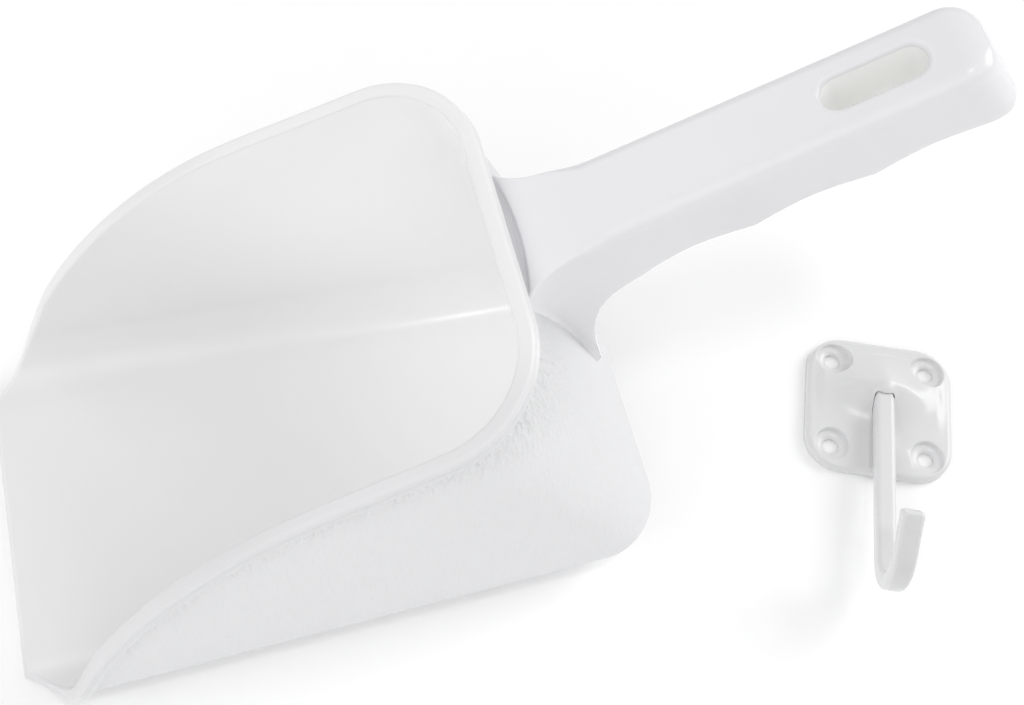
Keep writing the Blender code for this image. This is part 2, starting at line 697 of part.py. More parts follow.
# screw hole and its recess, as (radius, z)
HOLE_PROFILE = ((HOLE_D / 2, -1 * MM), (HOLE_D / 2, RECESS_Z - 0.8 * MM),
                (RECESS_D / 2 - 0.9 * MM, RECESS_Z), (RECESS_D / 2, RECESS_Z + 0.3 * MM),
                (RECESS_D / 2 + 0.5 * MM, PLATE_T + 0.2 * MM),
                (RECESS_D / 2 + 0.5 * MM, PLATE_T + 12 * MM))
ARM_W = 6.8 * MM
ARM_T = 6.2 * MM
ARM_EDGE_R = 1.5 * MM
ARM_WIDENING = 0.04                  # share of the width gained by the tip
ARM_ROOT = (2.6 * MM, 7.6 * MM)      # y, z
ARM_HEADING = math.radians(180 - 3)  # from +Y towards +Z: down, leaning off the wall
ARM_ROOT_INSET = 0.8 * MM            # the root end is smaller all round
CROOK_TURN = math.radians(141)
CROOK_R = 11.5 * MM
# length, turn and steps of the straight, the crook and the tip
ARM_RUNS = ((63.2 * MM, 0.0, 6), (CROOK_R * CROOK_TURN, CROOK_TURN, 14), (14.5 * MM, 0.0, 3))
SOCKET_CLEAR = 0.35 * MM             # gap behind the arm's root end
SOCKET_LEN = 40.0 * MM


def corner_arc(half_x, half_y, radius, quadrant, steps):
    sign_x, sign_y = QUADRANTS[quadrant]
    angles = [math.pi / 2 * (quadrant + i / steps) for i in range(steps + 1)]
    return [(sign_x * (half_x - radius) + radius * math.cos(a),
             sign_y * (half_y - radius) + radius * math.sin(a)) for a in angles]


def plate_outline(half):
    """Rounded square inside the plate's own outline, evenly divided."""
    radius = max(PLATE_R - (PLATE / 2 - half), 0.28 * half)
    steps = PLATE_SIDE_STEPS
    arcs = [corner_arc(half, half, radius, quadrant, steps) for quadrant in range(4)]
    out = []
    for arc, following in zip(arcs, arcs[1:] + arcs[:1]):
        (x0, y0), (x1, y1) = arc[-1], following[0]
        out += arc
        out += [(x0 + (x1 - x0) * i / steps, y0 + (y1 - y0) * i / steps)
                for i in range(1, steps)]
    return out


def plate_front(x, y):
    """Front of the plate: a broad roof over the upper half, highest at the
    arm root and falling away beside the arm, and a low spine under the arm."""
    off_centre = abs(x)
    if y >= RIDGE_Y:
        slope = max(0.0, (PLATE_EDGE - y) / (PLATE_EDGE - RIDGE_Y)) ** 1.15
    else:
        slope = math.exp(-((RIDGE_Y - y) / (8.5 * MM)) ** 1.8)
    side = 1.0 - 0.85 * smooth01(off_centre / (23 * MM))
    edge_fade = smooth01((PLATE_EDGE - max(off_centre, abs(y))) / (4 * MM))
    roof = HUMP_H * slope * side * edge_fade
    low_part = 0.09 * smooth01((y + 23 * MM) / (8 * MM))
    high_part = 0.91 * smooth01((y + 5.5 * MM) / (10 * MM))
    spine = HUMP_H * math.exp(-(off_centre / (6.2 * MM)) ** 2.4) * (low_part + high_part)
    if y >= RIDGE_Y:
        spine *= slope
    height = max(roof, spine)
    blend = min(HUMP_BLEND, height)
    if blend < 1e-6:
        return PLATE_T
    closeness = max(blend - abs(roof - spine), 0.0) / blend
    return PLATE_T + height + closeness * closeness * blend * 0.25


def arm_path():
    """Centre line (y, z, heading) of the arm: down from its root, round the
    crook and up to the tip."""
    y, z = ARM_ROOT
    heading = ARM_HEADING
    points = [(y, z, heading)]
    for length, turn, steps in ARM_RUNS:
        for _ in range(steps):
            middle = heading - 0.5 * turn / steps
            y += length / steps * math.cos(middle)
            z += length / steps * math.sin(middle)
            heading -= turn / steps
            points.append((y, z, heading))
    return points


def arm_rings():
    rings = []
    path = arm_path()
    for i, (y, z, heading) in enumerate(path):
        half_w = ARM_W / 2 * (1 + ARM_WIDENING * i / (len(path) - 1))
        half_t = ARM_T / 2
        if i == 0:
            half_w -= ARM_ROOT_INSET
            half_t -= ARM_ROOT_INSET
        outline = [p for quadrant in range(4)
                   for p in corner_arc(half_w, half_t, ARM_EDGE_R, quadrant, 3)]
        rings.append([(x, y - math.sin(heading) * off, z + math.cos(heading) * off)
                      for x, off in outline])
    return rings


def socket_cutter():
    """Straight square-cornered socket for the arm root."""
    direction = np.array((math.cos(ARM_HEADING), math.sin(ARM_HEADING)))
    square = np.array((-direction[1], direction[0]))
    half_w, half_t = ARM_W / 2 + GAP, ARM_T / 2 + GAP
    base = np.array(ARM_ROOT) - direction * SOCKET_CLEAR
    rings = [[(sx * half_w, *(centre + square * sy * half_t)) for sx, sy in QUADRANTS]
             for centre in (base, base + direction * SOCKET_LEN)]
    return make_cutter("hook_socket", *loft(rings))


def hole_cutter(number, centre_x, centre_y):
    angles = [2 * math.pi * k / HOLE_SIDES for k in range(HOLE_SIDES)]
    rings = [[(centre_x + radius * math.cos(a), centre_y + radius * math.sin(a), z)
              for a in angles] for radius, z in HOLE_PROFILE]
    return make_cutter("hook_hole_%d" % number, *loft(rings))


def build_plate(material):
    """The plate, returned with its cutters."""
    rings = [[(x, y, z) for x, y in plate_outline(PLATE / 2 - inset)]
             for inset, z in PLATE_LEVELS]
    for i in range(PLATE_RINGS):
        outline = plate_outline(PLATE_EDGE * (1 - i / PLATE_RINGS))
        rings.append([(x, y, plate_front(x, y)) for x, y in outline])
    plate = make_piece("hook_plate", *loft(rings), material)
    tools = [socket_cutter()]
    for i, (sx, sy) in enumerate(QUADRANTS):
        tools.append(hole_cutter(i + 1, sx * HOLE_PITCH / 2, sy * HOLE_PITCH / 2))
    for tool in tools:
        subtract(plate, tool)
    return [plate] + tools


def build_hook(material):
    parts = build_plate(material)
    parts.append(make_piece("hook_arm", *loft(arm_rings()), material))
    for ob in parts:
        ob.location = HOOK_AT
        ob.rotation_euler = (0.0, 0.0, HOOK_TURN)


# ------------------------------------------------------------------ build
def main():
    for ob in list(bpy.data.objects):
        bpy.data.objects.remove(ob)
    bowl_plastic = plastic("bowl_plastic", colour=(0.86, 0.86, 0.87), roughness=0.34)
    handle_plastic = plastic("handle_plastic", colour=(0.85, 0.85, 0.86), roughness=0.38)
    hook_plastic = plastic("hook_plastic", colour=(0.82, 0.82, 0.83), roughness=0.36)

    make_piece("scoop_bowl", *bowl_mesh(), bowl_plastic)
    build_shell(handle_plastic)
    build_cover(handle_plastic)
    build_hook(hook_plastic)


main()
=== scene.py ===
"""Feed scoop and its wall hook: the finished surfaces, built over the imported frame.

Metres, +Z up, in the frame's own axes.  The scoop stands on z = 0 with its lip
towards -X and its handle rising towards +X; the near side is -Y.  The hook lies
beside it with its plate's back on z = 0, turned about Z.
"""
from math import acos, cos, exp, pi, radians, sin, sqrt, tan

import bmesh
import bpy
import numpy as np
from mathutils import Matrix, Vector


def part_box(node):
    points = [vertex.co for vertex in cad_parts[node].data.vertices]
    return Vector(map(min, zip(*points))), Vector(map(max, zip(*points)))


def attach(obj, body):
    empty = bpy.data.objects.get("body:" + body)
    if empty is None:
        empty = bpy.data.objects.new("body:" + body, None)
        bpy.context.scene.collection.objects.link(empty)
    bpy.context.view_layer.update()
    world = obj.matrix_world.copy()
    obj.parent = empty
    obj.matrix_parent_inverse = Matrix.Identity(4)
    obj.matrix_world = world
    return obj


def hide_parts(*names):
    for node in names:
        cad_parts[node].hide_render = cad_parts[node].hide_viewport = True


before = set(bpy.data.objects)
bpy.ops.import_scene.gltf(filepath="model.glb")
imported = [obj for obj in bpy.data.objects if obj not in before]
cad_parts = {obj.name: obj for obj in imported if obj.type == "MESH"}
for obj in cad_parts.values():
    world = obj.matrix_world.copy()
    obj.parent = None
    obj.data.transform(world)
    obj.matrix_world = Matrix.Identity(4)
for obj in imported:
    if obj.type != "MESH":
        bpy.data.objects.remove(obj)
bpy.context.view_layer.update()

MM = 0.001
GAP = 0.3 * MM                       # clearance between neighbouring pieces

# ------------------------------------------------------------ bowl sizes
# in the bowl's own frame: lip at x = 0, floor at z = 0
LIP_TO_ORIGIN = 100.0 * MM           # the origin sits this far behind the lip
RIM_SLOPE = radians(24.6)            # straight part of the rim above the floor
RIM_REAR_X = 154.4 * MM
RIM_REAR_Z = 134.0 * MM
HALF_REAR = 57.6 * MM                # half width over the walls at the rear rim
SIDE_TAPER = 0.033                   # the side walls close up towards the rear
SIDE_DRAFT = 0.006
REAR_DRAFT = 0.004
WALL = 2.6 * MM
CORNER_R = 20.0 * MM                 # outside radius of every bowl corner
CORNER_GROW = 10.0 * MM              # the upright rear corners widen by this ...
GROW_HEIGHT = 95.0 * MM              # ... over this length of wall
RIM_FLANGE = 2.0 * MM                # how far the rim bead stands out
RIM_DROP = 3.5 * MM                  # height of the bead's outer edge
# side view of the rim: lip corner, steep cheek, shoulder, straight slope
RIM_LIP_H = 0.7 * MM
RIM_CHEEK = (27.5 * MM, 42.0 * MM)
CHEEK_LEAN = (0.46, 0.888)           # direction of the cheek
RIM_SHOULDER = (89.0 * MM, 105.5 * MM)
SHOULDER_PULL = 24.0 * MM

# steps of the bowl's mesh
STATIONS_MM = (0.0, 1.6, 3.6, 6.0, 9.0, 12.5, 17, 22, 28, 34, 41, 48, 56,
               66, 78, 92, 108, 124, 140, 156, 172)   # behind the lip
STATION_SPLIT = 4                    # parts between neighbouring stations
CORNER_STEPS = 22
ACROSS_STEPS = 34
FILLET_ROWS = 18
WALL_ROWS = 34
ROWS = FILLET_ROWS + WALL_ROWS

# ---------------------------------------------------------- handle sizes
# in the handle's frame: along its top face, y, and deep below the top face
HANDLE_SLOPE = radians(26.0)
HANDLE_ROOT = (167.6 * MM, 132.8 * MM)   # zero of the top face, in the bowl's frame
HANDLE_END = 122.4 * MM
END_RAKE = 0.20                      # the end face leans out towards the underside
END_R = 9.0 * MM
HANDLE_HALF = 13.4 * MM
HANDLE_DEPTH = 26.6 * MM
GROOVE_RISE = 3.0 * MM               # height of the ridges between the fingers
GROOVE_PITCH = 34.6 * MM
GROOVE_FIRST = 50.2 * MM
FLARE_HALF = 23.0 * MM               # half width of the top where it meets the wall
SCALLOP = 2.4 * MM                   # reach of the crescent between top face and rim
SCALLOP_DEEP = 2.8 * MM              # scale of the crescent's depth
EDGE_CRISP = 0.9 * MM                # edge radius along the flared root
GUSSET_DEPTH = 88.0 * MM             # how far the keel runs down the rear wall
ROOT_R = 1.5 * MM                    # fillet against the rear wall
ROOT_SPREAD = 0.55                   # share of that fillet added to the outline
ROOT_SINK = 0.35 * MM                # how far the root runs into the wall
SHELL = 2.4 * MM
SLOT_MID = 92.8 * MM
SLOT_LEN = 28.5 * MM
SLOT_WID = 9.8 * MM
SLOT_MOUTH_R = 1.7 * MM
# the slot wall below this depth is painted lighter and glows faintly (painted light)
SLOT_WALL_FROM = 2.2 * MM            # depth at which the slot's lighter wall begins
COLLAR = 2.0 * MM                    # wall left round the slot inside the hollow
CAVITY = (9.0 * MM, 113.0 * MM)      # hollow part of the handle
CAVITY_BELOW = 6.0 * MM              # the hollow's cutter reaches this far below
COVER_T = 2.4 * MM
COVER_SUNK = 0.7 * MM                # cover's face above the handle's lower edge
TOP_N = 35                           # points across the top face
# stations close to the rear wall, measured from it
ROOT_STATIONS_MM = (0.3, 0.5, 0.7, 0.9, 1.1, 1.3, 1.5, 1.7, 1.9, 2.1, 2.3, 2.5, 2.7, 2.9,
                    3.15, 3.5, 4.0)

# ------------------------------------------------------------ hook sizes
# in the hook's frame: x across, y up the wall, z out of the wall
HOOK_TURN = radians(-22.0)
PLATE = 52.0 * MM
PLATE_HALF = PLATE / 2
PLATE_R = 12.8 * MM
PLATE_T = 3.6 * MM
PLATE_EDGE_R = 2.0 * MM
PLATE_RINGS = 62
HUMP_H = 8.5 * MM
RIDGE_Y = 6.5 * MM                   # ridge of the raised part, above the plate's middle
HOLE_PITCH = 33.8 * MM
HOLE_D = 5.7 * MM
RECESS_D = 11.6 * MM
RECESS_DEEP = 1.3 * MM
ARM_W = 6.8 * MM
ARM_T = 6.2 * MM
ARM_EDGE_R = 1.7 * MM
ARM_SPREAD = 0.07                    # share by which the arm widens towards its tip
TIP_R = 0.9 * MM
ARM_START = (2.6 * MM, 7.6 * MM, radians(180 - 3))    # y, z, heading in the yz plane
# runs of the arm: length, turn, steps
ARM_RUNS = ((63.2 * MM, 0.0, 30),
            (11.5 * MM * radians(141), radians(141), 44),
            (14.5 * MM, 0.0, 12))
SOCKET_GAP = 0.14 * MM
SOCKET_EDGE_R = 1.8 * MM

QUADRANTS = ((1, 1), (-1, 1), (-1, -1), (1, -1))
MIRROR_Y = np.array((1.0, -1.0, 1.0))


# --------------------------------------------------------------- helpers
def smooth_step(x):
    x = min(1.0, max(0.0, x))
    return x * x * (3.0 - 2.0 * x)


def lerp(start, end, part):
    return start * (1 - part) + end * part


def unit(vector):
    return vector / np.linalg.norm(vector)


def angle_between(first, second):
    return acos(max(-1.0, min(1.0, float(first @ second))))


def slerp(start, end, part):
    angle = angle_between(start, end)
    if angle < 1e-9:
        return start.copy()
    return (sin((1 - part) * angle) * start + sin(part * angle) * end) / sin(angle)


def quarter(steps, turn=0):
    """Angles of a quarter circle, both ends included."""
    return [pi / 2 * (turn + i / steps) for i in range(steps + 1)]


def shade(mesh, angle):
    mesh.shade_smooth()
    mesh.set_sharp_from_angle(angle=radians(angle))


def mesh_object(name, verts, faces, materials=(), slots=None, angle=50.0, merge=1e-7):
    mesh = bpy.data.meshes.new(name)
    mesh.from_pydata([tuple(float(c) for c in v) for v in verts], [], faces)
    if slots is not None:
        mesh.polygons.foreach_set("material_index", slots)
    bm = bmesh.new()
    bm.from_mesh(mesh)
    bmesh.ops.remove_doubles(bm, verts=bm.verts, dist=merge)
    bmesh.ops.dissolve_degenerate(bm, edges=bm.edges, dist=1e-7)
    bmesh.ops.recalc_face_normals(bm, faces=bm.faces)
    bm.to_mesh(mesh)
    bm.free()
    for material in materials:
        mesh.materials.append(material)
    shade(mesh, angle)
    piece = bpy.data.objects.new(name, mesh)
    bpy.context.scene.collection.objects.link(piece)
    return piece


def carve(piece, tools, angle=50.0):
    """Cuts the tools out of the piece at once and drops them."""
    for tool in tools:
        cut = piece.modifiers.new("cut_" + tool.name, 'BOOLEAN')
        cut.operation = 'DIFFERENCE'
        cut.solver = 'EXACT'
        cut.object = tool
    graph = bpy.context.evaluated_depsgraph_get()
    mesh = bpy.data.meshes.new_from_object(piece.evaluated_get(graph))
    piece.modifiers.clear()
    uncut = piece.data
    piece.data = mesh
    bpy.data.meshes.remove(uncut)
    for tool in tools:
        bpy.data.objects.remove(tool)
    shade(mesh, angle)
    return piece


def band(first, second):
    """Quads between two equal closed loops of vertex numbers."""
    count = len(first)
    return [(first[i], first[(i + 1) % count], second[(i + 1) % count], second[i])
            for i in range(count)]


def loft(rings):
    """Closed tube through equal rings, capped at both ends."""
    count = len(rings[0])
    loops = [range(i * count, (i + 1) * count) for i in range(len(rings))]
    faces = [face for pair in zip(loops, loops[1:]) for face in band(*pair)]
    faces += [tuple(loops[0]), tuple(loops[-1])]
    return [point for ring in rings for point in ring], faces


# ------------------------------------------------------------------- rim
def bezier(start, start_pull, end_pull, end, steps):
    """Points along a cubic curve, without its end."""
    points = []
    for i in range(steps):
        part = i / steps
        rest = 1 - part
        weights = (rest ** 3, 3 * part * rest ** 2, 3 * part * part * rest, part ** 3)
        points.append(tuple(sum(w * p[axis] for w, p in
                                zip(weights, (start, start_pull, end_pull, end)))
                            for axis in (0, 1)))
    return points


def rim_profile():
    """Side view of the rim as a polyline (x, z), lip to beyond the rear."""
    cheek_x, cheek_z = RIM_CHEEK
    lean_x, lean_z = CHEEK_LEAN
    x0, z0 = RIM_SHOULDER
    pull = SHOULDER_PULL * 1.15
    points = bezier((WALL / 2, RIM_LIP_H), (15.0 * MM, 1.0 * MM),
                    (cheek_x - lean_x * 19 * MM, cheek_z - lean_z * 19 * MM), RIM_CHEEK, 24)
    points += bezier(RIM_CHEEK, (cheek_x + lean_x * 30 * MM, cheek_z + lean_z * 30 * MM),
                     (x0 - cos(RIM_SLOPE) * pull, z0 - sin(RIM_SLOPE) * pull), (x0, z0), 24)
    # from the shoulder the rim eases on to the line through its rear end
    for part in np.linspace(0.0, 1.0, 12):
        x = x0 + part * (RIM_REAR_X + 40 * MM - x0)
        rear_line = RIM_REAR_Z + (x - RIM_REAR_X) * tan(RIM_SLOPE)
        shoulder_line = z0 + (x - x0) * tan(RIM_SLOPE)
        points.append((x, lerp(shoulder_line, rear_line, smooth_step((x - x0) / (40 * MM)))))
    return np.array(points)


RIM = rim_profile()


def rim_height(x):
    if x <= RIM[0, 0]:
        return RIM_LIP_H + (x - RIM[0, 0]) * 0.15
    return float(np.interp(x, RIM[:, 0], RIM[:, 1]))


def arc_points(x, y, radius, start, end, count):
    angles = [radians(start + (end - start) * i / (count - 1)) for i in range(count)]
    return [(x + radius * cos(angle), y + radius * sin(angle)) for angle in angles]


def full_bead():
    """Rolled rim as (out, up): flat band, rounded shoulder, hollow face, fine bead."""
    edge = RIM_FLANGE
    points = arc_points(-WALL + 0.8 * MM, 0.15 * MM, 0.8 * MM, 172, 90, 5)
    points += [(-WALL + 1.6 * MM, 0.97 * MM), (-WALL + 2.6 * MM, 0.97 * MM)]
    points += arc_points(edge - 1.2 * MM, -0.25 * MM, 1.2 * MM, 90, 0, 6)
    points += [(edge - 0.22 * MM, -1.0 * MM), (edge - 0.3 * MM, -1.55 * MM),
               (edge - 0.15 * MM, -2.0 * MM)]
    points += arc_points(edge - 0.35 * MM, -RIM_DROP + 0.75 * MM, 0.7 * MM, 35, -100, 7)
    points += [(0.9 * MM, -RIM_DROP + 0.02 * MM), (0.45 * MM, -RIM_DROP - 0.12 * MM)]
    return points


FULL_BEAD = full_bead()


def bead(flange):
    """Rim section between the inner and outer skins, as (out, up) pairs.
    flange 0 is a plain half round, 1 the full bead."""
    points = []
    for i, (out, up) in enumerate(FULL_BEAD):
        angle = pi * (1.0 - (i + 1) / (len(FULL_BEAD) + 1))
        points.append((lerp(-WALL / 2 + WALL / 2 * cos(angle), out, flange),
                       lerp(WALL / 2 * sin(angle), up, flange)))
    return points


# ------------------------------------------------------------------ bowl
class Bowl:
    """Rounded wedge: flat floor, two side walls and a rear wall, all blended
    with one radius, and cut along the rim.

    Each plane is a normal and its offset.  A station is (base point, wall normal,
    wall direction, lean, grow); a place on it is a distance along its path from
    the edge of the flat floor, round the fillet and up the wall."""

    def __init__(self):
        slope_x, slope_z = cos(RIM_SLOPE), sin(RIM_SLOPE)
        # rear end of the rim, measured along its slope and square to it
        rear_along = RIM_REAR_X * slope_x + RIM_REAR_Z * slope_z
        rear_square = -RIM_REAR_X * slope_z + RIM_REAR_Z * slope_x
        # side wall: |y| = half + per_x * x + per_z * z
        per_x = -SIDE_DRAFT * slope_z - SIDE_TAPER * slope_x
        per_z = SIDE_DRAFT * slope_x - SIDE_TAPER * slope_z
        half = HALF_REAR - SIDE_DRAFT * rear_square + SIDE_TAPER * rear_along
        size = sqrt(1 + per_x * per_x + per_z * per_z)
        self.floor = np.array((0.0, 0.0, -1.0))
        self.side = np.array((-per_x, -1.0, -per_z)) / size
        rear = np.array((slope_x + REAR_DRAFT * slope_z, 0.0, slope_z - REAR_DRAFT * slope_x))
        size_rear = np.linalg.norm(rear)
        self.rear = rear / size_rear
        self.rear_offset = (rear_along - REAR_DRAFT * rear_square) / size_rear
        offsets = np.array((0.0, half / size, self.rear_offset))
        # centre of the ball that rounds the near rear floor corner
        self.corner = np.linalg.solve(np.array((self.floor, self.side, self.rear)),
                                      offsets - CORNER_R)
        upright = np.cross(self.side, self.rear)
        self.upright = unit(upright if upright[2] > 0 else -upright)
        edge = np.cross(self.floor, self.side)
        self.floor_edge = unit(edge if edge[0] > 0 else -edge)
        # moving the corner's axis against this widens its radius by one unit
        # and keeps it tangent to both walls
        self.widen = np.linalg.solve(np.array((self.side, self.rear, self.upright)),
                                     np.array((1.0, 1.0, 0.0)))

    def stations(self, places):
        """Stations from the front of the near side, round the corner, to the
        far end of the rear wall."""
        found = []
        corner, front = self.corner, places[0]
        for x in places:
            base = corner + self.floor_edge * ((x - corner[0]) / self.floor_edge[0])
            lean = -(self.widen - self.side) * max(0.0, (x - front) / (corner[0] - front)) ** 3
            found.append((base, self.side, self.upright, lean, 0.0))
        for i in range(1, CORNER_STEPS):
            normal = slerp(self.side, self.rear, i / CORNER_STEPS)
            found.append((corner, normal, self.upright, -self.widen, 1.0))
        lean = -(self.widen - self.rear)
        for i in range(ACROSS_STEPS + 1):
            part = i / ACROSS_STEPS
            found.append((lerp(corner, corner * MIRROR_Y, part), self.rear,
                          unit(lerp(self.upright, self.upright * MIRROR_Y, part)),
                          lerp(lean, lean * MIRROR_Y, part), 0.0))
        return found

    def fillet(self, station):
        """Length of the station's path that lies on the floor fillet."""
        return angle_between(self.floor, station[1]) * CORNER_R

    def path(self, station, place):
        """(centre, normal): the surface at any offset is centre + offset * normal."""
        base, normal, upright, lean, grow = station
        fillet = self.fillet(station)
        if place <= fillet:
            return base, slerp(self.floor, normal, place / fillet)
        widened = CORNER_GROW * smooth_step((place - fillet) / GROW_HEIGHT)
        centre = (base + upright * (place - fillet) + lean * widened
                  + normal * (grow * widened))
        return centre, normal

    def point(self, station, place, offset=CORNER_R):
        centre, normal = self.path(station, place)
        return centre + normal * offset

    def cut(self, station):
        """Place at which the station's path meets the rim."""
        def inside(place):
            point = self.point(station, place)
            return point[2] < rim_height(point[0])
        step, place = 1.0 * MM, 0.0
        while inside(place) and place < 0.4:
            place += step
        low, high = max(0.0, place - step), place
        for _ in range(40):
            middle = 0.5 * (low + high)
            if inside(middle):
                low = middle
            else:
                high = middle
        return 0.5 * (low + high)

    def row_places(self, station, end):
        """Places of the mesh rows, from the floor to the given end."""
        fillet = self.fillet(station)
        share = min(1.0, end / (1.6 * fillet))
        return ([share * fillet * i / FILLET_ROWS for i in range(FILLET_ROWS + 1)]
                + [share * fillet + (end - share * fillet) * i / WALL_ROWS
                   for i in range(1, WALL_ROWS + 1)])


BOWL = Bowl()


def bowl_stations():
    places = []
    for start, end in zip(STATIONS_MM, STATIONS_MM[1:]):
        start, end = start * MM, end * MM
        places += [start + (end - start) * i / STATION_SPLIT for i in range(STATION_SPLIT)]
    places.append(STATIONS_MM[-1] * MM)
    corner_x = BOWL.corner[0]
    return BOWL.stations([x + WALL / 2 for x in places if x < corner_x - 4 * MM] + [corner_x])


def bowl_columns(stations):
    """Inner and outer skin columns, and the rim's (point, normal, up, flange)."""
    cuts = [BOWL.cut(station) for station in stations]
    points = [BOWL.point(station, cut) for station, cut in zip(stations, cuts)]
    inner, outer, rim = [], [], []
    for i, (station, cut) in enumerate(zip(stations, cuts)):
        normal = BOWL.path(station, cut)[1]
        tangent = unit(points[min(len(points) - 1, i + 1)] - points[max(0, i - 1)])
        up = unit(np.cross(normal, tangent))
        climb = points[i] - BOWL.point(station, cut - 0.5 * MM)
        if up @ climb < 0:
            up = -up
        # the bead fades in behind the lip
        flange = smooth_step((cut - 6 * MM) / (34 * MM))
        slope = max(0.55, float(unit(climb) @ up))
        outer_end = cut - (RIM_DROP + 0.45 * MM) * flange / slope
        inner.append([BOWL.point(station, place, CORNER_R - WALL)
                      for place in BOWL.row_places(station, cut)])
        outer.append([BOWL.point(station, place) for place in BOWL.row_places(station, outer_end)])
        rim.append((points[i], normal, up, flange))
    return inner, outer, rim, cuts[0]


def bowl_skin(columns, add):
    """Faces of one skin and its boundary loop; add stores a point."""
    corner = len(columns) - 1 - CORNER_STEPS - ACROSS_STEPS
    across = range(1, ACROSS_STEPS)

    def turn(first, side):
        """Columns round a rear corner, all sharing the first one's floor point."""
        return [first] + [[first[0]] + [add(p * side) for p in columns[corner + i][1:]]
                          for i in range(1, CORNER_STEPS)]

    near = [[add(p) for p in column] for column in columns[:corner + 1]]
    far = [[add(p * MIRROR_Y) for p in column] for column in columns[:corner + 1]]
    floor = []
    for i in range(corner + 1):
        edge = columns[i][0]
        middle = [add(lerp(edge, edge * MIRROR_Y, k / ACROSS_STEPS)) for k in across]
        floor.append([near[i][0]] + middle + [far[i][0]])
    near_turn = turn(near[corner], 1.0)
    rear = [[floor[corner][k]] + [add(p) for p in columns[corner + CORNER_STEPS + k][1:]]
            for k in range(ACROSS_STEPS + 1)]
    near_turn.append(rear[0])
    far_turn = turn(far[corner], MIRROR_Y)
    far_turn.append(rear[-1])

    faces = []
    for grid in (near, far, near_turn, far_turn, rear):
        for left, right in zip(grid, grid[1:]):
            for row in range(ROWS):
                quad = (left[row], right[row], right[row + 1], left[row + 1])
                # columns that share a vertex leave a triangle or nothing
                quad = tuple(dict.fromkeys(quad))
                if len(quad) > 2:
                    faces.append(quad)
    for front, back in zip(floor, floor[1:]):
        for k in range(ACROSS_STEPS):
            faces.append((front[k], back[k], back[k + 1], front[k + 1]))

    # near rim forwards, round the lip, far rim backwards, then the rear
    loop = [column[ROWS] for column in near[::-1]]
    loop += near[0][ROWS - 1::-1]
    loop += floor[0][1:-1]
    loop += far[0]
    loop += [column[ROWS] for column in far[1:] + far_turn[1:-1]]
    loop += [column[ROWS] for column in rear[::-1] + near_turn[-2:0:-1]]
    return faces, loop


def boundary_frames(station, rim, cut):
    """(point, normal, up, flange) round the boundary, in the order of the loop."""
    corner = len(rim) - 1 - CORNER_STEPS - ACROSS_STEPS
    front = np.array((-1.0, 0.0, 0.0))

    def mirrored(frames):
        return [(point * MIRROR_Y, normal * MIRROR_Y, up * MIRROR_Y, flange)
                for point, normal, up, flange in frames]

    point, normal, up, _ = rim[0]
    lip = [(point, normal, unit(up + front), 0.0)]
    for place in BOWL.row_places(station, cut)[ROWS - 1::-1]:
        centre, normal = BOWL.path(station, place)
        lip.append((centre + normal * CORNER_R, normal, front, 0.0))
    edge = lip[-1][0]
    across = [(lerp(edge, edge * MIRROR_Y, k / ACROSS_STEPS), BOWL.floor, front, 0.0)
              for k in range(1, ACROSS_STEPS)]
    return (rim[corner:0:-1] + lip + across + mirrored(lip[::-1])
            + mirrored(rim[1:corner + CORNER_STEPS]) + rim[:corner:-1])


def bowl_mesh():
    """Vertices, faces and material slots: 0 inside, 1 outside, 2 rim."""
    verts = []

    def add(point):
        verts.append(point)
        return len(verts) - 1

    stations = bowl_stations()
    inner, outer, rim, lip_cut = bowl_columns(stations)
    inner_faces, inner_loop = bowl_skin(inner, add)
    outer_faces, outer_loop = bowl_skin(outer, add)
    rings = [[add(point + normal * out + up * height) for out, height in bead(flange)]
             for point, normal, up, flange in boundary_frames(stations[0], rim, lip_cut)]
    strips = [inner_loop, *zip(*rings), outer_loop]
    rim_faces = [face for pair in zip(strips, strips[1:]) for face in band(*pair)]
    slots = [0] * len(inner_faces) + [1] * len(outer_faces) + [2] * len(rim_faces)
    shift = np.array((-LIP_TO_ORIGIN, 0.0, 0.0))
    return [point + shift for point in verts], inner_faces + outer_faces + rim_faces, slots


def below_rim(x, z):
    """Depth below the rim, reduced towards the rear so the grain starts lower there."""
    depth = max(0.0, rim_height(x + LIP_TO_ORIGIN) - z)
    return depth * (1.0 - 0.65 * smooth_step((x - 0.015) / 0.06))


def build_bowl(materials):
    verts, faces, slots = bowl_mesh()
    piece = mesh_object("scoop_bowl_moulding", verts, faces, materials, slots,
                        angle=60, merge=2e-6)
    depths = [below_rim(vertex.co.x, vertex.co.z) for vertex in piece.data.vertices]
    attribute = piece.data.attributes.new("below_rim", 'FLOAT', 'POINT')
    attribute.data.foreach_set("value", np.array(depths, np.float32))
    return piece


# ---------------------------------------------------------------- handle
HANDLE_ALONG = np.array((cos(HANDLE_SLOPE), 0.0, sin(HANDLE_SLOPE)))
HANDLE_UP = np.array((-sin(HANDLE_SLOPE), 0.0, cos(HANDLE_SLOPE)))
HANDLE_ZERO = np.array((HANDLE_ROOT[0] - LIP_TO_ORIGIN, 0.0, HANDLE_ROOT[1]))


def handle_point(along, y, deep):
    return HANDLE_ZERO + HANDLE_ALONG * along - HANDLE_UP * deep + np.array((0.0, y, 0.0))


def wall_along(y, deep):
    """Where a line along the handle meets the outside of the rear wall."""
    point = handle_point(0.0, y, deep) + np.array((LIP_TO_ORIGIN, 0, 0))
    return (BOWL.rear_offset - float(BOWL.rear @ point)) / float(BOWL.rear @ HANDLE_ALONG)


WALL_ALONG = wall_along(0.0, 20 * MM)


def wall_fade(along, length):
    """1 at the rear wall, fading out over the length."""
    return exp(-max(0.0, along - WALL_ALONG) / length)


def root_blend(along):
    return wall_fade(along, 7.0 * MM)


def half_top(along):
    return (HANDLE_HALF - 0.9 * MM * smooth_step(along / HANDLE_END)
            + (FLARE_HALF - HANDLE_HALF) * root_blend(along))


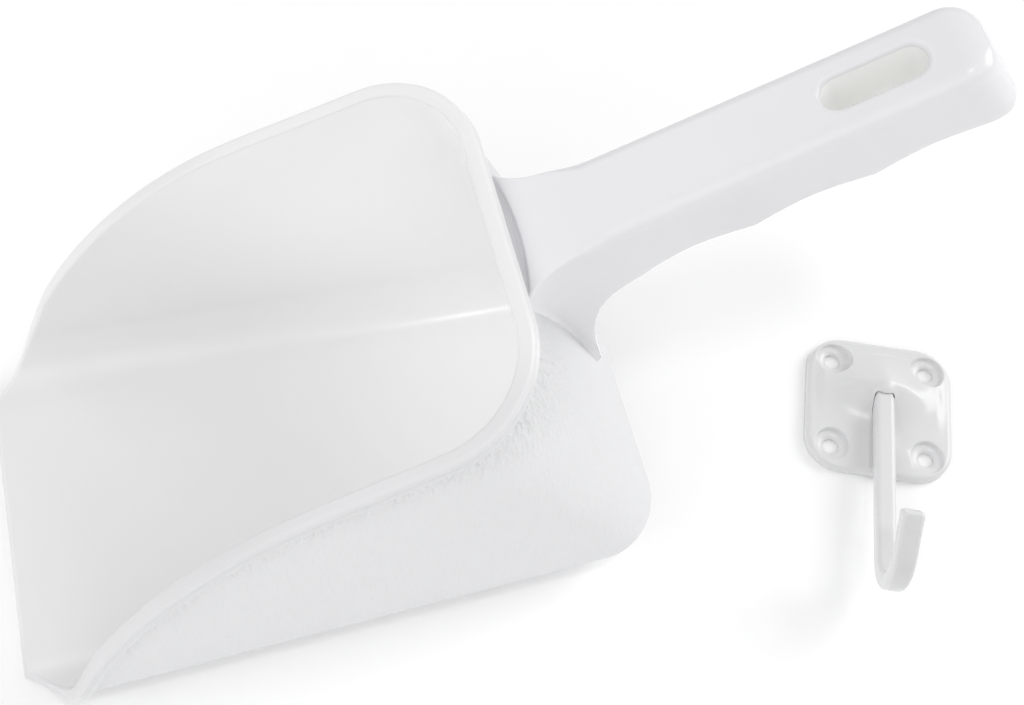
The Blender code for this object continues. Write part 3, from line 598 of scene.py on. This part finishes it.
def groove(along):
    """Height of the finger ridges along the underside."""
    if along < GROOVE_FIRST - GROOVE_PITCH:
        return GROOVE_RISE
    turns = (along - GROOVE_FIRST) / GROOVE_PITCH
    off_ridge = abs((turns + 0.5) % 1.0 - 0.5) * 2.0      # 0 on a ridge, 1 mid groove
    return GROOVE_RISE * (1.0 - sin(off_ridge * pi / 2)) ** 0.9


def handle_depth(along):
    keel = (GUSSET_DEPTH - HANDLE_DEPTH - GROOVE_RISE) * wall_fade(along, 8.2 * MM)
    return HANDLE_DEPTH + groove(along) + keel


def end_round(along):
    """How far the outline has drawn in, rounding the free end."""
    left = HANDLE_END - along
    if left >= END_R:
        return 0.0
    return END_R - sqrt(max(0.0, END_R ** 2 - (END_R - left) ** 2))


def scallop(along, y):
    """Depth of the crescent hollow cut in the top face beside the rim."""
    across = min(1.0, abs(y) / half_top(along))
    off_wall = along - WALL_ALONG
    return (0.55 * SCALLOP_DEEP * (1.0 - across ** 4)
            * (0.35 + 0.65 * smooth_step(off_wall / (1.5 * MM)))
            * (1.0 - smooth_step((off_wall - 1.4 * MM) / (1.5 * MM))))


def bow(along, y):
    """How far the crescent's edge stands back from the wall at y."""
    if along < WALL_ALONG + 0.5 * MM:
        return 0.0
    across = min(1.0, abs(y) / half_top(along))
    return SCALLOP * (1.0 - across * across) * wall_fade(along - 3 * MM, 9.0 * MM)


def section(along, inset, steps, below=0.0):
    """Closed outline (y, deep): down the +Y side, up the -Y side, across the top.
    Corners are rounded in the given steps.  A length below carries the outline
    past the underside instead of insetting it there."""
    root = root_blend(along)
    drawn = end_round(along)
    top_half = half_top(along) - inset - drawn * 0.8
    low_half = (HANDLE_HALF * (1 - root) + 3.2 * MM * root - 1.4 * MM * (1 - root)
                - inset - drawn * 0.8)
    top = inset + drawn * 0.45
    depth = handle_depth(along) - drawn * 0.45
    bottom = depth - inset if below == 0.0 else depth + below
    soft = smooth_step((along - WALL_ALONG - 15 * MM) / (12 * MM))
    top_r = 4.2 * MM * soft + EDGE_CRISP * (1 - soft)
    low_r = (3.4 * (1 - root) + 2.4 * root) * MM
    top_r = max(0.6 * MM, top_r - inset)
    low_r = max(0.6 * MM, min(low_r - inset, low_half - 0.3 * MM))

    side = []
    for angle in quarter(steps):
        y = top_half - top_r + top_r * sin(angle)
        side.append((y, top + scallop(along, y) * cos(angle) + top_r - top_r * cos(angle)))
    for part in (0.25, 0.5, 0.75):
        # slightly concave flank near the wall, straight on the grip
        hollow = root * (top_half - low_half) * 0.9 * part * (1 - part)
        side.append(((top_half + (low_half - top_half) * part) - hollow,
                     top + top_r + (bottom - low_r - top - top_r) * part))
    for angle in quarter(steps):
        side.append((low_half - low_r + low_r * cos(angle),
                     bottom - low_r + low_r * sin(angle)))
    flat = top_half - top_r
    across = [-flat + 2.0 * flat * i / (TOP_N + 1) for i in range(1, TOP_N + 1)]
    return (side + [(-y, deep) for y, deep in reversed(side)]
            + [(y, top + scallop(along, y)) for y in across])


def handle_ring(along, inset, steps, below=0.0):
    lean = END_RAKE * smooth_step((along - HANDLE_END + 16 * MM) / (12 * MM))
    outline = section(along, inset, steps, below)
    ring = []
    for i, (y, deep) in enumerate(outline):
        back = bow(along, y) if i >= len(outline) - TOP_N else 0.0
        ring.append(handle_point(along + back + lean * (deep - 4 * MM), y, deep))
    return ring


def hollow_half(along, deep):
    """Half width of the hollow, less a small margin."""
    steps = 3
    side = section(along, SHELL, steps, CAVITY_BELOW)[:2 * (steps + 1) + 3]
    return float(np.interp(deep, [point[1] for point in side],
                           [point[0] for point in side])) - 0.05 * MM


def slot_tool(name, profile, marks_wall=False):
    """Cutter along the hanging slot; profile lists (growth of the outline, deep).
    With marks_wall its deeper faces carry the second material slot."""
    straight = SLOT_LEN / 2 - SLOT_WID / 2
    steps = 28
    angles = [-pi / 2 + pi * i / steps for i in range(steps + 1)]
    rings = []
    for grow, deep in profile:
        radius = SLOT_WID / 2 + grow
        rings.append([handle_point(SLOT_MID + side * (straight + radius * cos(angle)),
                                   side * radius * sin(angle), deep)
                      for side in (1, -1) for angle in angles])
    tool = mesh_object(name, *loft(rings))
    tool.data.materials.append(None)
    tool.data.materials.append(None)
    for face in tool.data.polygons:
        deep = -float((np.array(face.center) - HANDLE_ZERO) @ HANDLE_UP)
        face.material_index = int(marks_wall and deep > SLOT_WALL_FROM)
    return tool


def slot_profile():
    """The slot's upper mouth is rounded."""
    radius = SLOT_MOUTH_R
    return ([(radius + 3 * MM, -3 * MM)]
            + [(radius - radius * sin(angle), radius - radius * cos(angle))
               for angle in quarter(8)]
            + [(0.0, 50 * MM)])


def grip_stations():
    stations = [WALL_ALONG + place * MM for place in ROOT_STATIONS_MM]
    along = stations[-1]
    while along < HANDLE_END - END_R - 0.6 * MM:
        along += 0.9 * MM
        stations.append(along)
    stations += [HANDLE_END - END_R * (1 - sin(angle)) - 0.02 * MM for angle in quarter(16)]
    return sorted(set(round(along, 7) for along in stations))


def build_grip(materials):
    # the root follows the slope of the wall and ends just inside it
    rings = [[handle_point(wall_along(y, deep) - ROOT_SINK, y, deep)
              for y, deep in section(WALL_ALONG, -ROOT_R * ROOT_SPREAD, 9)]]
    for along in grip_stations():
        off_wall = along - WALL_ALONG
        grow = 0.0
        if off_wall < ROOT_R:
            grow = ROOT_R - sqrt(max(0.0, ROOT_R ** 2 - (ROOT_R - off_wall) ** 2))
        rings.append(handle_ring(along, -grow * ROOT_SPREAD, 9))
    shell = mesh_object("grip_shell", *loft(rings), materials, angle=35, merge=1e-6)
    cavity_rings = [handle_ring(CAVITY[0] + (CAVITY[1] - CAVITY[0]) * part,
                                SHELL, 5, CAVITY_BELOW)
                    for part in np.linspace(0, 1, 60)]
    cavity = mesh_object("cavity", *loft(cavity_rings))
    cavity = carve(cavity, [slot_tool("collar", [(COLLAR, -6 * MM), (COLLAR, 44 * MM)])])
    shell = carve(shell, [cavity])
    return carve(shell, [slot_tool("slot", slot_profile(), marks_wall=True)], angle=32)


def build_cover(materials):
    """Cover that closes the hollow under the grip."""
    rings = []
    for part in np.linspace(0, 1, 120):
        along = CAVITY[0] + GAP + (CAVITY[1] - CAVITY[0] - 2 * GAP) * part
        top = handle_depth(along) - COVER_SUNK - COVER_T
        bottom = handle_depth(along) - COVER_SUNK
        top_half = hollow_half(along, top) - GAP
        low_half = hollow_half(along, bottom) - GAP
        side = [(top_half - 0.5 * MM, top), (top_half, top + 0.5 * MM),
                (low_half, bottom - 0.9 * MM), (low_half - 0.12 * MM, bottom - 0.5 * MM),
                (low_half - 0.45 * MM, bottom - 0.2 * MM),
                (low_half - 1.0 * MM, bottom - 0.05 * MM),
                (low_half - 3.0 * MM, bottom), (low_half - 6.0 * MM, bottom + 0.05 * MM)]
        outline = side + [(-y, deep) for y, deep in reversed(side)]
        rings.append([handle_point(along, y, deep) for y, deep in outline])
    cover = mesh_object("grip_cover", *loft(rings), materials, angle=45, merge=1e-6)
    port = slot_tool("port", [(COLLAR + GAP, -8 * MM), (COLLAR + GAP, 50 * MM)])
    return carve(cover, [port], angle=45)


# ------------------------------------------------------------------ hook
def hook_placement():
    """Function that takes a point of the hook's frame to its place."""
    low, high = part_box("hook_plate")
    centre = ((low + high) / 2).xy
    turn_cos, turn_sin = cos(HOOK_TURN), sin(HOOK_TURN)

    def put(x, y, z):
        return np.array((centre[0] + turn_cos * x - turn_sin * y,
                         centre[1] + turn_sin * x + turn_cos * y, z))
    return put


def plate_outline(half, steps=10):
    """The plate's rounded square shrunk to a half width, with evenly split sides."""
    radius = max(PLATE_R - (PLATE_HALF - half), 0.28 * half)
    reach = half - radius
    points = []
    for q, (x, y) in enumerate(QUADRANTS):
        corner = [(reach * x + radius * cos(angle), reach * y + radius * sin(angle))
                  for angle in quarter(steps, q)]
        x1, y1 = corner[-1]
        next_x, next_y = QUADRANTS[(q + 1) % 4]
        angle = pi / 2 * (q + 1)
        x2, y2 = reach * next_x + radius * cos(angle), reach * next_y + radius * sin(angle)
        points += corner
        points += [(x1 + (x2 - x1) * i / steps, y1 + (y2 - y1) * i / steps)
                   for i in range(1, steps)]
    return points


def tent_height(x, y):
    """Front of the plate: a broad roof over the upper half, highest at the
    arm root and falling away beside the arm, and a low spine under the arm."""
    top = PLATE_HALF - PLATE_EDGE_R
    aside = abs(x)
    if y >= RIDGE_Y:
        rise = max(0.0, (top - y) / (top - RIDGE_Y)) ** 1.15
    else:
        rise = exp(-((RIDGE_Y - y) / (8.5 * MM)) ** 1.8)
    side = 1.0 - 0.85 * smooth_step(aside / (23 * MM))
    edge_fade = smooth_step((top - max(aside, abs(y))) / (4 * MM))
    roof = HUMP_H * rise * side * edge_fade
    spine = HUMP_H * exp(-(aside / (6.2 * MM)) ** 2.4) \
        * (0.09 * smooth_step((y + 23 * MM) / (8 * MM))
           + 0.91 * smooth_step((y + 5.5 * MM) / (10 * MM)))
    if y >= RIDGE_Y:
        spine *= rise
    # soft maximum of the two
    blend = min(1.5 * MM, max(roof, spine))
    if blend < 1e-6:
        return PLATE_T
    overlap = max(blend - abs(roof - spine), 0.0) / blend
    return PLATE_T + max(roof, spine) + overlap * overlap * blend * 0.25


def bar_ring(put, place, half_w, half_t, radius, shrink=0.0, ahead=0.0):
    """Rounded rectangle square to a heading; place is (y, z, heading)."""
    y, z, heading = place
    y, z = y + cos(heading) * ahead, z + sin(heading) * ahead
    ring = []
    for q, (side_x, side_t) in enumerate(QUADRANTS):
        for angle in quarter(8, q):
            across = side_x * (half_w - radius) + (radius - shrink) * cos(angle)
            thick = side_t * (half_t - radius) + (radius - shrink) * sin(angle)
            ring.append(put(across, y - sin(heading) * thick, z + cos(heading) * thick))
    return ring


def socket_tool(put):
    """Cutter for the socket that takes the arm's root."""
    return mesh_object("socket", *loft(
        [bar_ring(put, ARM_START, ARM_W / 2 + SOCKET_GAP, ARM_T / 2 + SOCKET_GAP,
                  SOCKET_EDGE_R, ahead=ahead) for ahead in (-0.1 * MM, 39.9 * MM)]))


def hole_profile():
    """Screw hole and its recess, as (radius, z) from the back of the plate."""
    hole, recess = HOLE_D / 2, RECESS_D / 2
    seat = PLATE_T - RECESS_DEEP
    profile = [(hole + 0.5 * MM, -1 * MM), (hole, 0.45 * MM), (hole, seat - 1.0 * MM),
               (hole + 0.25 * MM, seat - 0.72 * MM), (recess - 1.2 * MM, seat - 0.1 * MM)]
    profile += [(recess - 0.6 * MM + 0.6 * MM * sin(angle),
                 seat + 0.5 * MM - 0.6 * MM * cos(angle)) for angle in quarter(5)]
    profile += [(recess + 0.05 * MM, PLATE_T - 0.45 * MM),
                (recess + 0.2 * MM, PLATE_T - 0.15 * MM),
                (recess + 0.55 * MM, PLATE_T + 0.05 * MM),
                (recess + 0.8 * MM, PLATE_T + 0.6 * MM),
                (recess + 1.0 * MM, PLATE_T + 12 * MM)]
    return profile


def hole_tool(name, put, x, y):
    angles = [2 * pi * i / 72 for i in range(72)]
    return mesh_object(name, *loft(
        [[put(x + radius * cos(angle), y + radius * sin(angle), z) for angle in angles]
         for radius, z in hole_profile()]))


def build_plate(put, materials):
    # outer edge as (half width, z), back to front
    edge = [(PLATE_HALF - 0.5 * MM, 0.0), (PLATE_HALF - 0.15 * MM, 0.12 * MM),
            (PLATE_HALF, 0.5 * MM), (PLATE_HALF, PLATE_T - PLATE_EDGE_R)]
    edge += [(PLATE_HALF - PLATE_EDGE_R * (1 - cos(angle)),
              PLATE_T - PLATE_EDGE_R + PLATE_EDGE_R * sin(angle)) for angle in quarter(7)[1:]]
    rings = [[put(x, y, z) for x, y in plate_outline(half)] for half, z in edge]
    for i in range(1, PLATE_RINGS):
        half = (PLATE_HALF - PLATE_EDGE_R) * (1 - i / PLATE_RINGS)
        rings.append([put(x, y, tent_height(x, y)) for x, y in plate_outline(half)])
    plate = mesh_object("hook_wall_plate", *loft(rings), materials, angle=60, merge=1e-6)
    tools = [socket_tool(put)]
    for i, (x, y) in enumerate(QUADRANTS):
        tools.append(hole_tool("hole_%d" % (i + 1), put, x * HOLE_PITCH / 2, y * HOLE_PITCH / 2))
    return carve(plate, tools, angle=50)


def arm_path():
    """Middle line (y, z, heading): down the wall, round the bend, up and outwards."""
    y, z, heading = ARM_START
    path = [ARM_START]
    for length, turn, steps in ARM_RUNS:
        for _ in range(steps):
            turned = heading - turn / steps
            middle = 0.5 * (heading + turned)
            y += length / steps * cos(middle)
            z += length / steps * sin(middle)
            heading = turned
            path.append((y, z, heading))
    return path


def build_arm(put, materials):
    path = arm_path()
    last = len(path) - 1
    rings = []
    for i, place in enumerate(path[:-1]):
        spread = ARM_SPREAD * smooth_step((i / last - 0.5) / 0.3)
        rings.append(bar_ring(put, place, ARM_W / 2 * (1 + spread), ARM_T / 2, ARM_EDGE_R,
                              shrink=0.5 * MM if i == 0 else 0.0))
    # rounded tip
    for angle in quarter(6)[1:]:
        rings.append(bar_ring(put, path[-1], ARM_W / 2 * (1 + ARM_SPREAD), ARM_T / 2,
                              ARM_EDGE_R, shrink=TIP_R * (1 - cos(angle)),
                              ahead=TIP_R * sin(angle) - TIP_R))
    return mesh_object("hook_arm_bar", *loft(rings), materials, angle=45, merge=1e-6)


# ------------------------------------------------------------- materials
class Material:
    """A material's node tree, built round its Principled BSDF."""

    def __init__(self, name):
        self.data = bpy.data.materials.new(name)
        self.data.use_nodes = True
        self.tree = self.data.node_tree
        self.place = self.node("ShaderNodeTexCoord", {}).outputs["Object"]

    def feed(self, node, inputs):
        """Links or sets each named input."""
        for key, value in inputs.items():
            if isinstance(value, bpy.types.NodeSocket):
                self.tree.links.new(value, node.inputs[key])
            else:
                node.inputs[key].default_value = value

    def surface(self, inputs):
        self.feed(self.tree.nodes["Principled BSDF"], inputs)

    def node(self, kind, inputs, **settings):
        node = self.tree.nodes.new(kind)
        for key, value in settings.items():
            setattr(node, key, value)
        self.feed(node, inputs)
        return node

    def stretch(self, scale):
        inputs = {"Scale": scale, "Vector": self.place}
        return self.node("ShaderNodeMapping", inputs).outputs["Vector"]

    def noise(self, scale, detail, vector, rough=0.5, distortion=0.0):
        return self.node("ShaderNodeTexNoise", {
            "Scale": scale, "Detail": detail, "Roughness": rough,
            "Distortion": distortion, "Vector": vector}).outputs["Fac"]

    def ramp(self, value, span, to, kind='LINEAR'):
        return self.node("ShaderNodeMapRange", {
            "From Min": span[0], "From Max": span[1], "To Min": to[0], "To Max": to[1],
            "Value": value}, interpolation_type=kind).outputs["Result"]

    def maths(self, operation, first, second):
        inputs = {0: first, 1: second}
        return self.node("ShaderNodeMath", inputs, operation=operation).outputs[0]

    def mix(self, factor, first, second):
        inputs = {"Factor": factor, "A": first, "B": second}
        return self.node("ShaderNodeMix", inputs, data_type='RGBA').outputs["Result"]

    def bump(self, height, distance, strength, normal=None):
        inputs = {"Distance": distance, "Strength": strength, "Height": height}
        if normal is not None:
            inputs["Normal"] = normal
        return self.node("ShaderNodeBump", inputs).outputs["Normal"]


def etched_grain(material, strength, normal):
    """Leather-like grain, drawn out along Z and fading out towards the rim."""
    drawn = material.stretch((1.0, 1.0, 0.26))
    cells = material.node("ShaderNodeTexVoronoi", {"Scale": 1000.0, "Vector": drawn},
                          feature='SMOOTH_F1').outputs["Distance"]
    fine = material.noise(scale=600.0, detail=3.0, rough=0.6, vector=drawn, distortion=1.2)
    height = material.maths('ADD', material.maths('MULTIPLY', cells, 0.8),
                            material.maths('MULTIPLY', fine, 1.3))
    depth = material.node("ShaderNodeAttribute", {}, attribute_name="below_rim").outputs["Fac"]
    mask = material.ramp(depth, span=(0.003, 0.018), to=(1.0, 0.16))
    return material.bump(material.maths('MULTIPLY', height, mask), distance=0.0011,
                         strength=strength, normal=normal)


def paint_light_and_shade_along(material, colour, *, axis, span, glow, start):
    """Painted light and shade along an axis: a painted glow that rises over the span, and the
    returned base colour, which runs from the darker start colour (painted shade) to the given one
    over the same span."""
    parts = material.node("ShaderNodeSeparateXYZ", {"Vector": material.place}).outputs
    if axis == "XZ":
        along = material.maths('ADD', parts["X"], material.maths('MULTIPLY', parts["Z"], 0.8))
    else:
        along = parts[axis]
    # painted glow: the emission strength rises along the axis
    strength = material.ramp(along, span=span, to=glow, kind='SMOOTHSTEP')
    material.surface({"Emission Strength": strength, "Emission Color": (1.0, 1.0, 1.0, 1.0)})
    # painted shade: the base colour darkens towards the low end of the span
    painted_shade_mask = material.ramp(along, span=span, to=(0.0, 1.0), kind='SMOOTHSTEP')
    return material.mix(painted_shade_mask, (*start, 1.0), colour)


def moulded(name, *, light, dark, rough, waves, grain=0.0, painted_light_and_shade=None, glow=None):
    """White moulded plastic: slow flow marks, orange peel and, where asked, etched grain, painted
    light and shade along an axis, or an even painted glow (colour, strength)."""
    material = Material(name)
    flow = material.stretch((1, 1, 1))
    slow = material.noise(scale=22.0, detail=2.0, vector=flow, distortion=0.3)
    mid = material.noise(scale=120.0, detail=3.0, vector=flow)
    tone = material.maths('ADD', material.ramp(slow, span=(0.25, 0.75), to=(0.1, 0.75)),
                          material.ramp(mid, span=(0.25, 0.75), to=(0.0, 0.2)))
    colour = material.mix(tone, (*dark, 1.0), (*light, 1.0))
    # painted light and shade along an axis, where asked
    if painted_light_and_shade:
        colour = paint_light_and_shade_along(material, colour, **painted_light_and_shade)
    roughness = material.maths(
        'ADD', material.ramp(mid, span=(0.3, 0.7), to=(rough - 0.02, rough + 0.02)),
        material.ramp(slow, span=(0.3, 0.7), to=(-0.02, 0.02)))
    normal = material.bump(material.noise(scale=45.0, detail=1.0, vector=flow),
                           distance=0.0005, strength=0.10 * waves)
    normal = material.bump(material.noise(scale=700.0, detail=2.0, vector=material.place),
                           distance=0.00004, strength=0.22, normal=normal)
    if grain > 0.0:
        normal = etched_grain(material, grain, normal)
    # an even painted glow, where asked
    if glow:
        material.surface({"Emission Color": (*glow[0], 1.0), "Emission Strength": glow[1]})
    material.surface({
        "Base Color": colour, "Roughness": roughness, "Normal": normal,
        "Specular IOR Level": 0.5, "IOR": 1.49,
        "Subsurface Weight": 0.12, "Subsurface Radius": (1.0, 0.95, 0.9),
        "Subsurface Scale": 0.0015})
    return material.data


# Painted light and shade: the inside is given a lighter colour than the outside of the same
# plastic, a darker colour towards the lip and a painted glow that rises towards the rear.
INSIDE = moulded("bowl_inside", light=(0.925, 0.923, 0.923), dark=(0.912, 0.910, 0.911),
                 rough=0.22, waves=0.6,
                 painted_light_and_shade=dict(axis="XZ", span=(-0.02, 0.085), glow=(0.020, 0.074),
                              start=(0.856, 0.854, 0.859)))
# Painted light and shade: the rim is darker on the near side (-Y) and has a faint painted glow
# over the rest.
RIMMED = moulded("bowl_rim", light=(0.870, 0.868, 0.872), dark=(0.855, 0.853, 0.858),
                 rough=0.34, waves=0.3,
                 painted_light_and_shade=dict(axis="Y", span=(-0.054, -0.030), glow=(0.0, 0.02),
                              start=(0.785, 0.783, 0.795)))
OUTSIDE = moulded("bowl_outside", light=(0.815, 0.815, 0.828), dark=(0.795, 0.795, 0.808),
                  rough=0.42, waves=1.0, grain=0.9)
GRIP = moulded("grip_plastic", light=(0.820, 0.818, 0.836), dark=(0.803, 0.802, 0.820),
               rough=0.23, waves=0.4)
# Painted light: the slot's shaded wall is given a lighter colour than the grip and a faint glow;
# its slight ivory tint is its own.
BORE = moulded("grip_slot_wall", light=(0.925, 0.925, 0.910), dark=(0.910, 0.910, 0.895),
               rough=0.34, waves=0.3, glow=((1.0, 1.0, 0.985), 0.04))
HOOK = moulded("hook_plastic", light=(0.840, 0.840, 0.845), dark=(0.820, 0.820, 0.825),
               rough=0.23, waves=0.4)


# ---------------------------------------------------------------- pieces
def fit(piece, group, node):
    """Ties a piece to the part of the frame it stands for."""
    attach(piece, group)
    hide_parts(node)


bowl = build_bowl([INSIDE, OUTSIDE, RIMMED])
fit(bowl, "scoop", "scoop_bowl")
grip = build_grip([GRIP, BORE])
fit(grip, "scoop", "handle_shell")
cover = build_cover([GRIP])
fit(cover, "scoop", "handle_grip_cover")

put_hook = hook_placement()
plate = build_plate(put_hook, [HOOK])
arm = build_arm(put_hook, [HOOK])
fit(plate, "wall_hook", "hook_plate")
fit(arm, "wall_hook", "hook_arm")


# ----------------------------------------------------------------- stage
def build_floor():
    bm = bmesh.new()
    bmesh.ops.create_grid(bm, x_segments=1, y_segments=1, size=4.0)
    mesh = bpy.data.meshes.new("floor")
    bm.to_mesh(mesh)
    bm.free()
    floor = bpy.data.objects.new("floor", mesh)
    bpy.context.scene.collection.objects.link(floor)
    floor.location = (0.1, 0.0, -0.0004)
    paper = Material("floor_paper")
    mottle = paper.noise(scale=3.0, detail=2.0, vector=paper.place)
    paper.surface({
        "Base Color": paper.mix(mottle, (0.965, 0.965, 0.965, 1.0), (0.975, 0.975, 0.975, 1.0)),
        "Roughness": 0.85, "Emission Color": (1.0, 1.0, 1.0, 1.0), "Emission Strength": 0.04})
    mesh.materials.append(paper.data)
    return floor


build_floor()

scene = bpy.context.scene
scene.view_settings.view_transform = 'Standard'
scene.view_settings.look = 'None'
scene.view_settings.exposure = 0.0
scene.view_settings.gamma = 1.0

world = bpy.data.worlds.new("studio")
scene.world = world
world.use_nodes = True
background = world.node_tree.nodes["Background"]
background.inputs["Color"].default_value = (1.0, 1.0, 1.0, 1.0)
background.inputs["Strength"].default_value = 0.455


def softbox(name, *, place, target, size, watts):
    lamp = bpy.data.lights.new(name, 'AREA')
    lamp.shape = 'RECTANGLE'
    lamp.size, lamp.size_y = size
    lamp.energy = watts
    light = bpy.data.objects.new(name, lamp)
    scene.collection.objects.link(light)
    light.location = place
    aim = Vector(target) - Vector(place)
    light.rotation_euler = aim.to_track_quat('-Z', 'Y').to_euler()
    return light


front_light = softbox("front", place=(-0.10, -0.85, 0.85), target=(0.05, 0.0, 0.05),
                      size=(1.0, 0.8), watts=2.6)
softbox("left", place=(-0.85, -0.20, 0.90), target=(0.05, 0.0, 0.05), size=(1.0, 1.0), watts=4.0)
softbox("right", place=(1.70, 0.15, 1.10), target=(0.05, 0.0, 0.05), size=(1.1, 1.1), watts=16.0)
softbox("back", place=(-0.45, 0.65, 0.80), target=(0.05, 0.0, 0.10), size=(0.6, 0.6), watts=1.3)
key_light = softbox("key", place=(0.18, -0.25, 1.25), target=(0.06, 0.0, 0.08),
                    size=(0.12, 0.12), watts=1.15)
glint_light = softbox("glint", place=(0.232, -0.46, 1.05), target=(0.06, 0.0, 0.06),
                      size=(0.05, 0.12), watts=0.56)


def link_light(light, role, name, pieces, exclude=True):
    """Limits what the light reaches (receiver) or what shades it (blocker)."""
    group = bpy.data.collections.new(name)
    for piece in pieces:
        group.objects.link(piece)
    setattr(light.light_linking, role + "_collection", group)
    if exclude:
        for member in group.collection_objects:
            member.light_linking.link_state = 'EXCLUDE'


# the glint lights the bowl alone, and neither the rear wall nor the handle shades
# it, so that its highlight on the far floor corner reaches the rear wall
link_light(glint_light, "receiver", "glint_lights", [bowl], exclude=False)
link_light(glint_light, "blocker", "glint_passes_through", [bowl, grip, cover])
link_light(key_light, "receiver", "key_passes", [bowl])
# the hook is not lit from the front
link_light(front_light, "receiver", "front_light_passes", [plate, arm])

# ---------------------------------------------------------------- camera
CAMERA_PLACE = (-0.0214380, -0.2046811, 0.4647217)
CAMERA_RIGHT = (0.9643, -0.254, 0.075)
CAMERA_AHEAD = (0.1863, 0.4495, -0.8736)

lens = bpy.data.cameras.new("camera")
camera = bpy.data.objects.new("camera", lens)
scene.collection.objects.link(camera)
# square up the axes, keeping the view direction
ahead = Vector(CAMERA_AHEAD).normalized()
down = ahead.cross(Vector(CAMERA_RIGHT).normalized()).normalized()
right = down.cross(ahead).normalized()
pose = Matrix((right, -down, -ahead)).transposed().to_4x4()
pose.translation = Vector(CAMERA_PLACE)
camera.matrix_world = pose
lens.sensor_width = 36.0
lens.lens = 52.28947266
lens.shift_x = 0.002275390625
lens.shift_y = -0.01052734375
lens.clip_start = 0.01
lens.clip_end = 20.0
scene.camera = camera
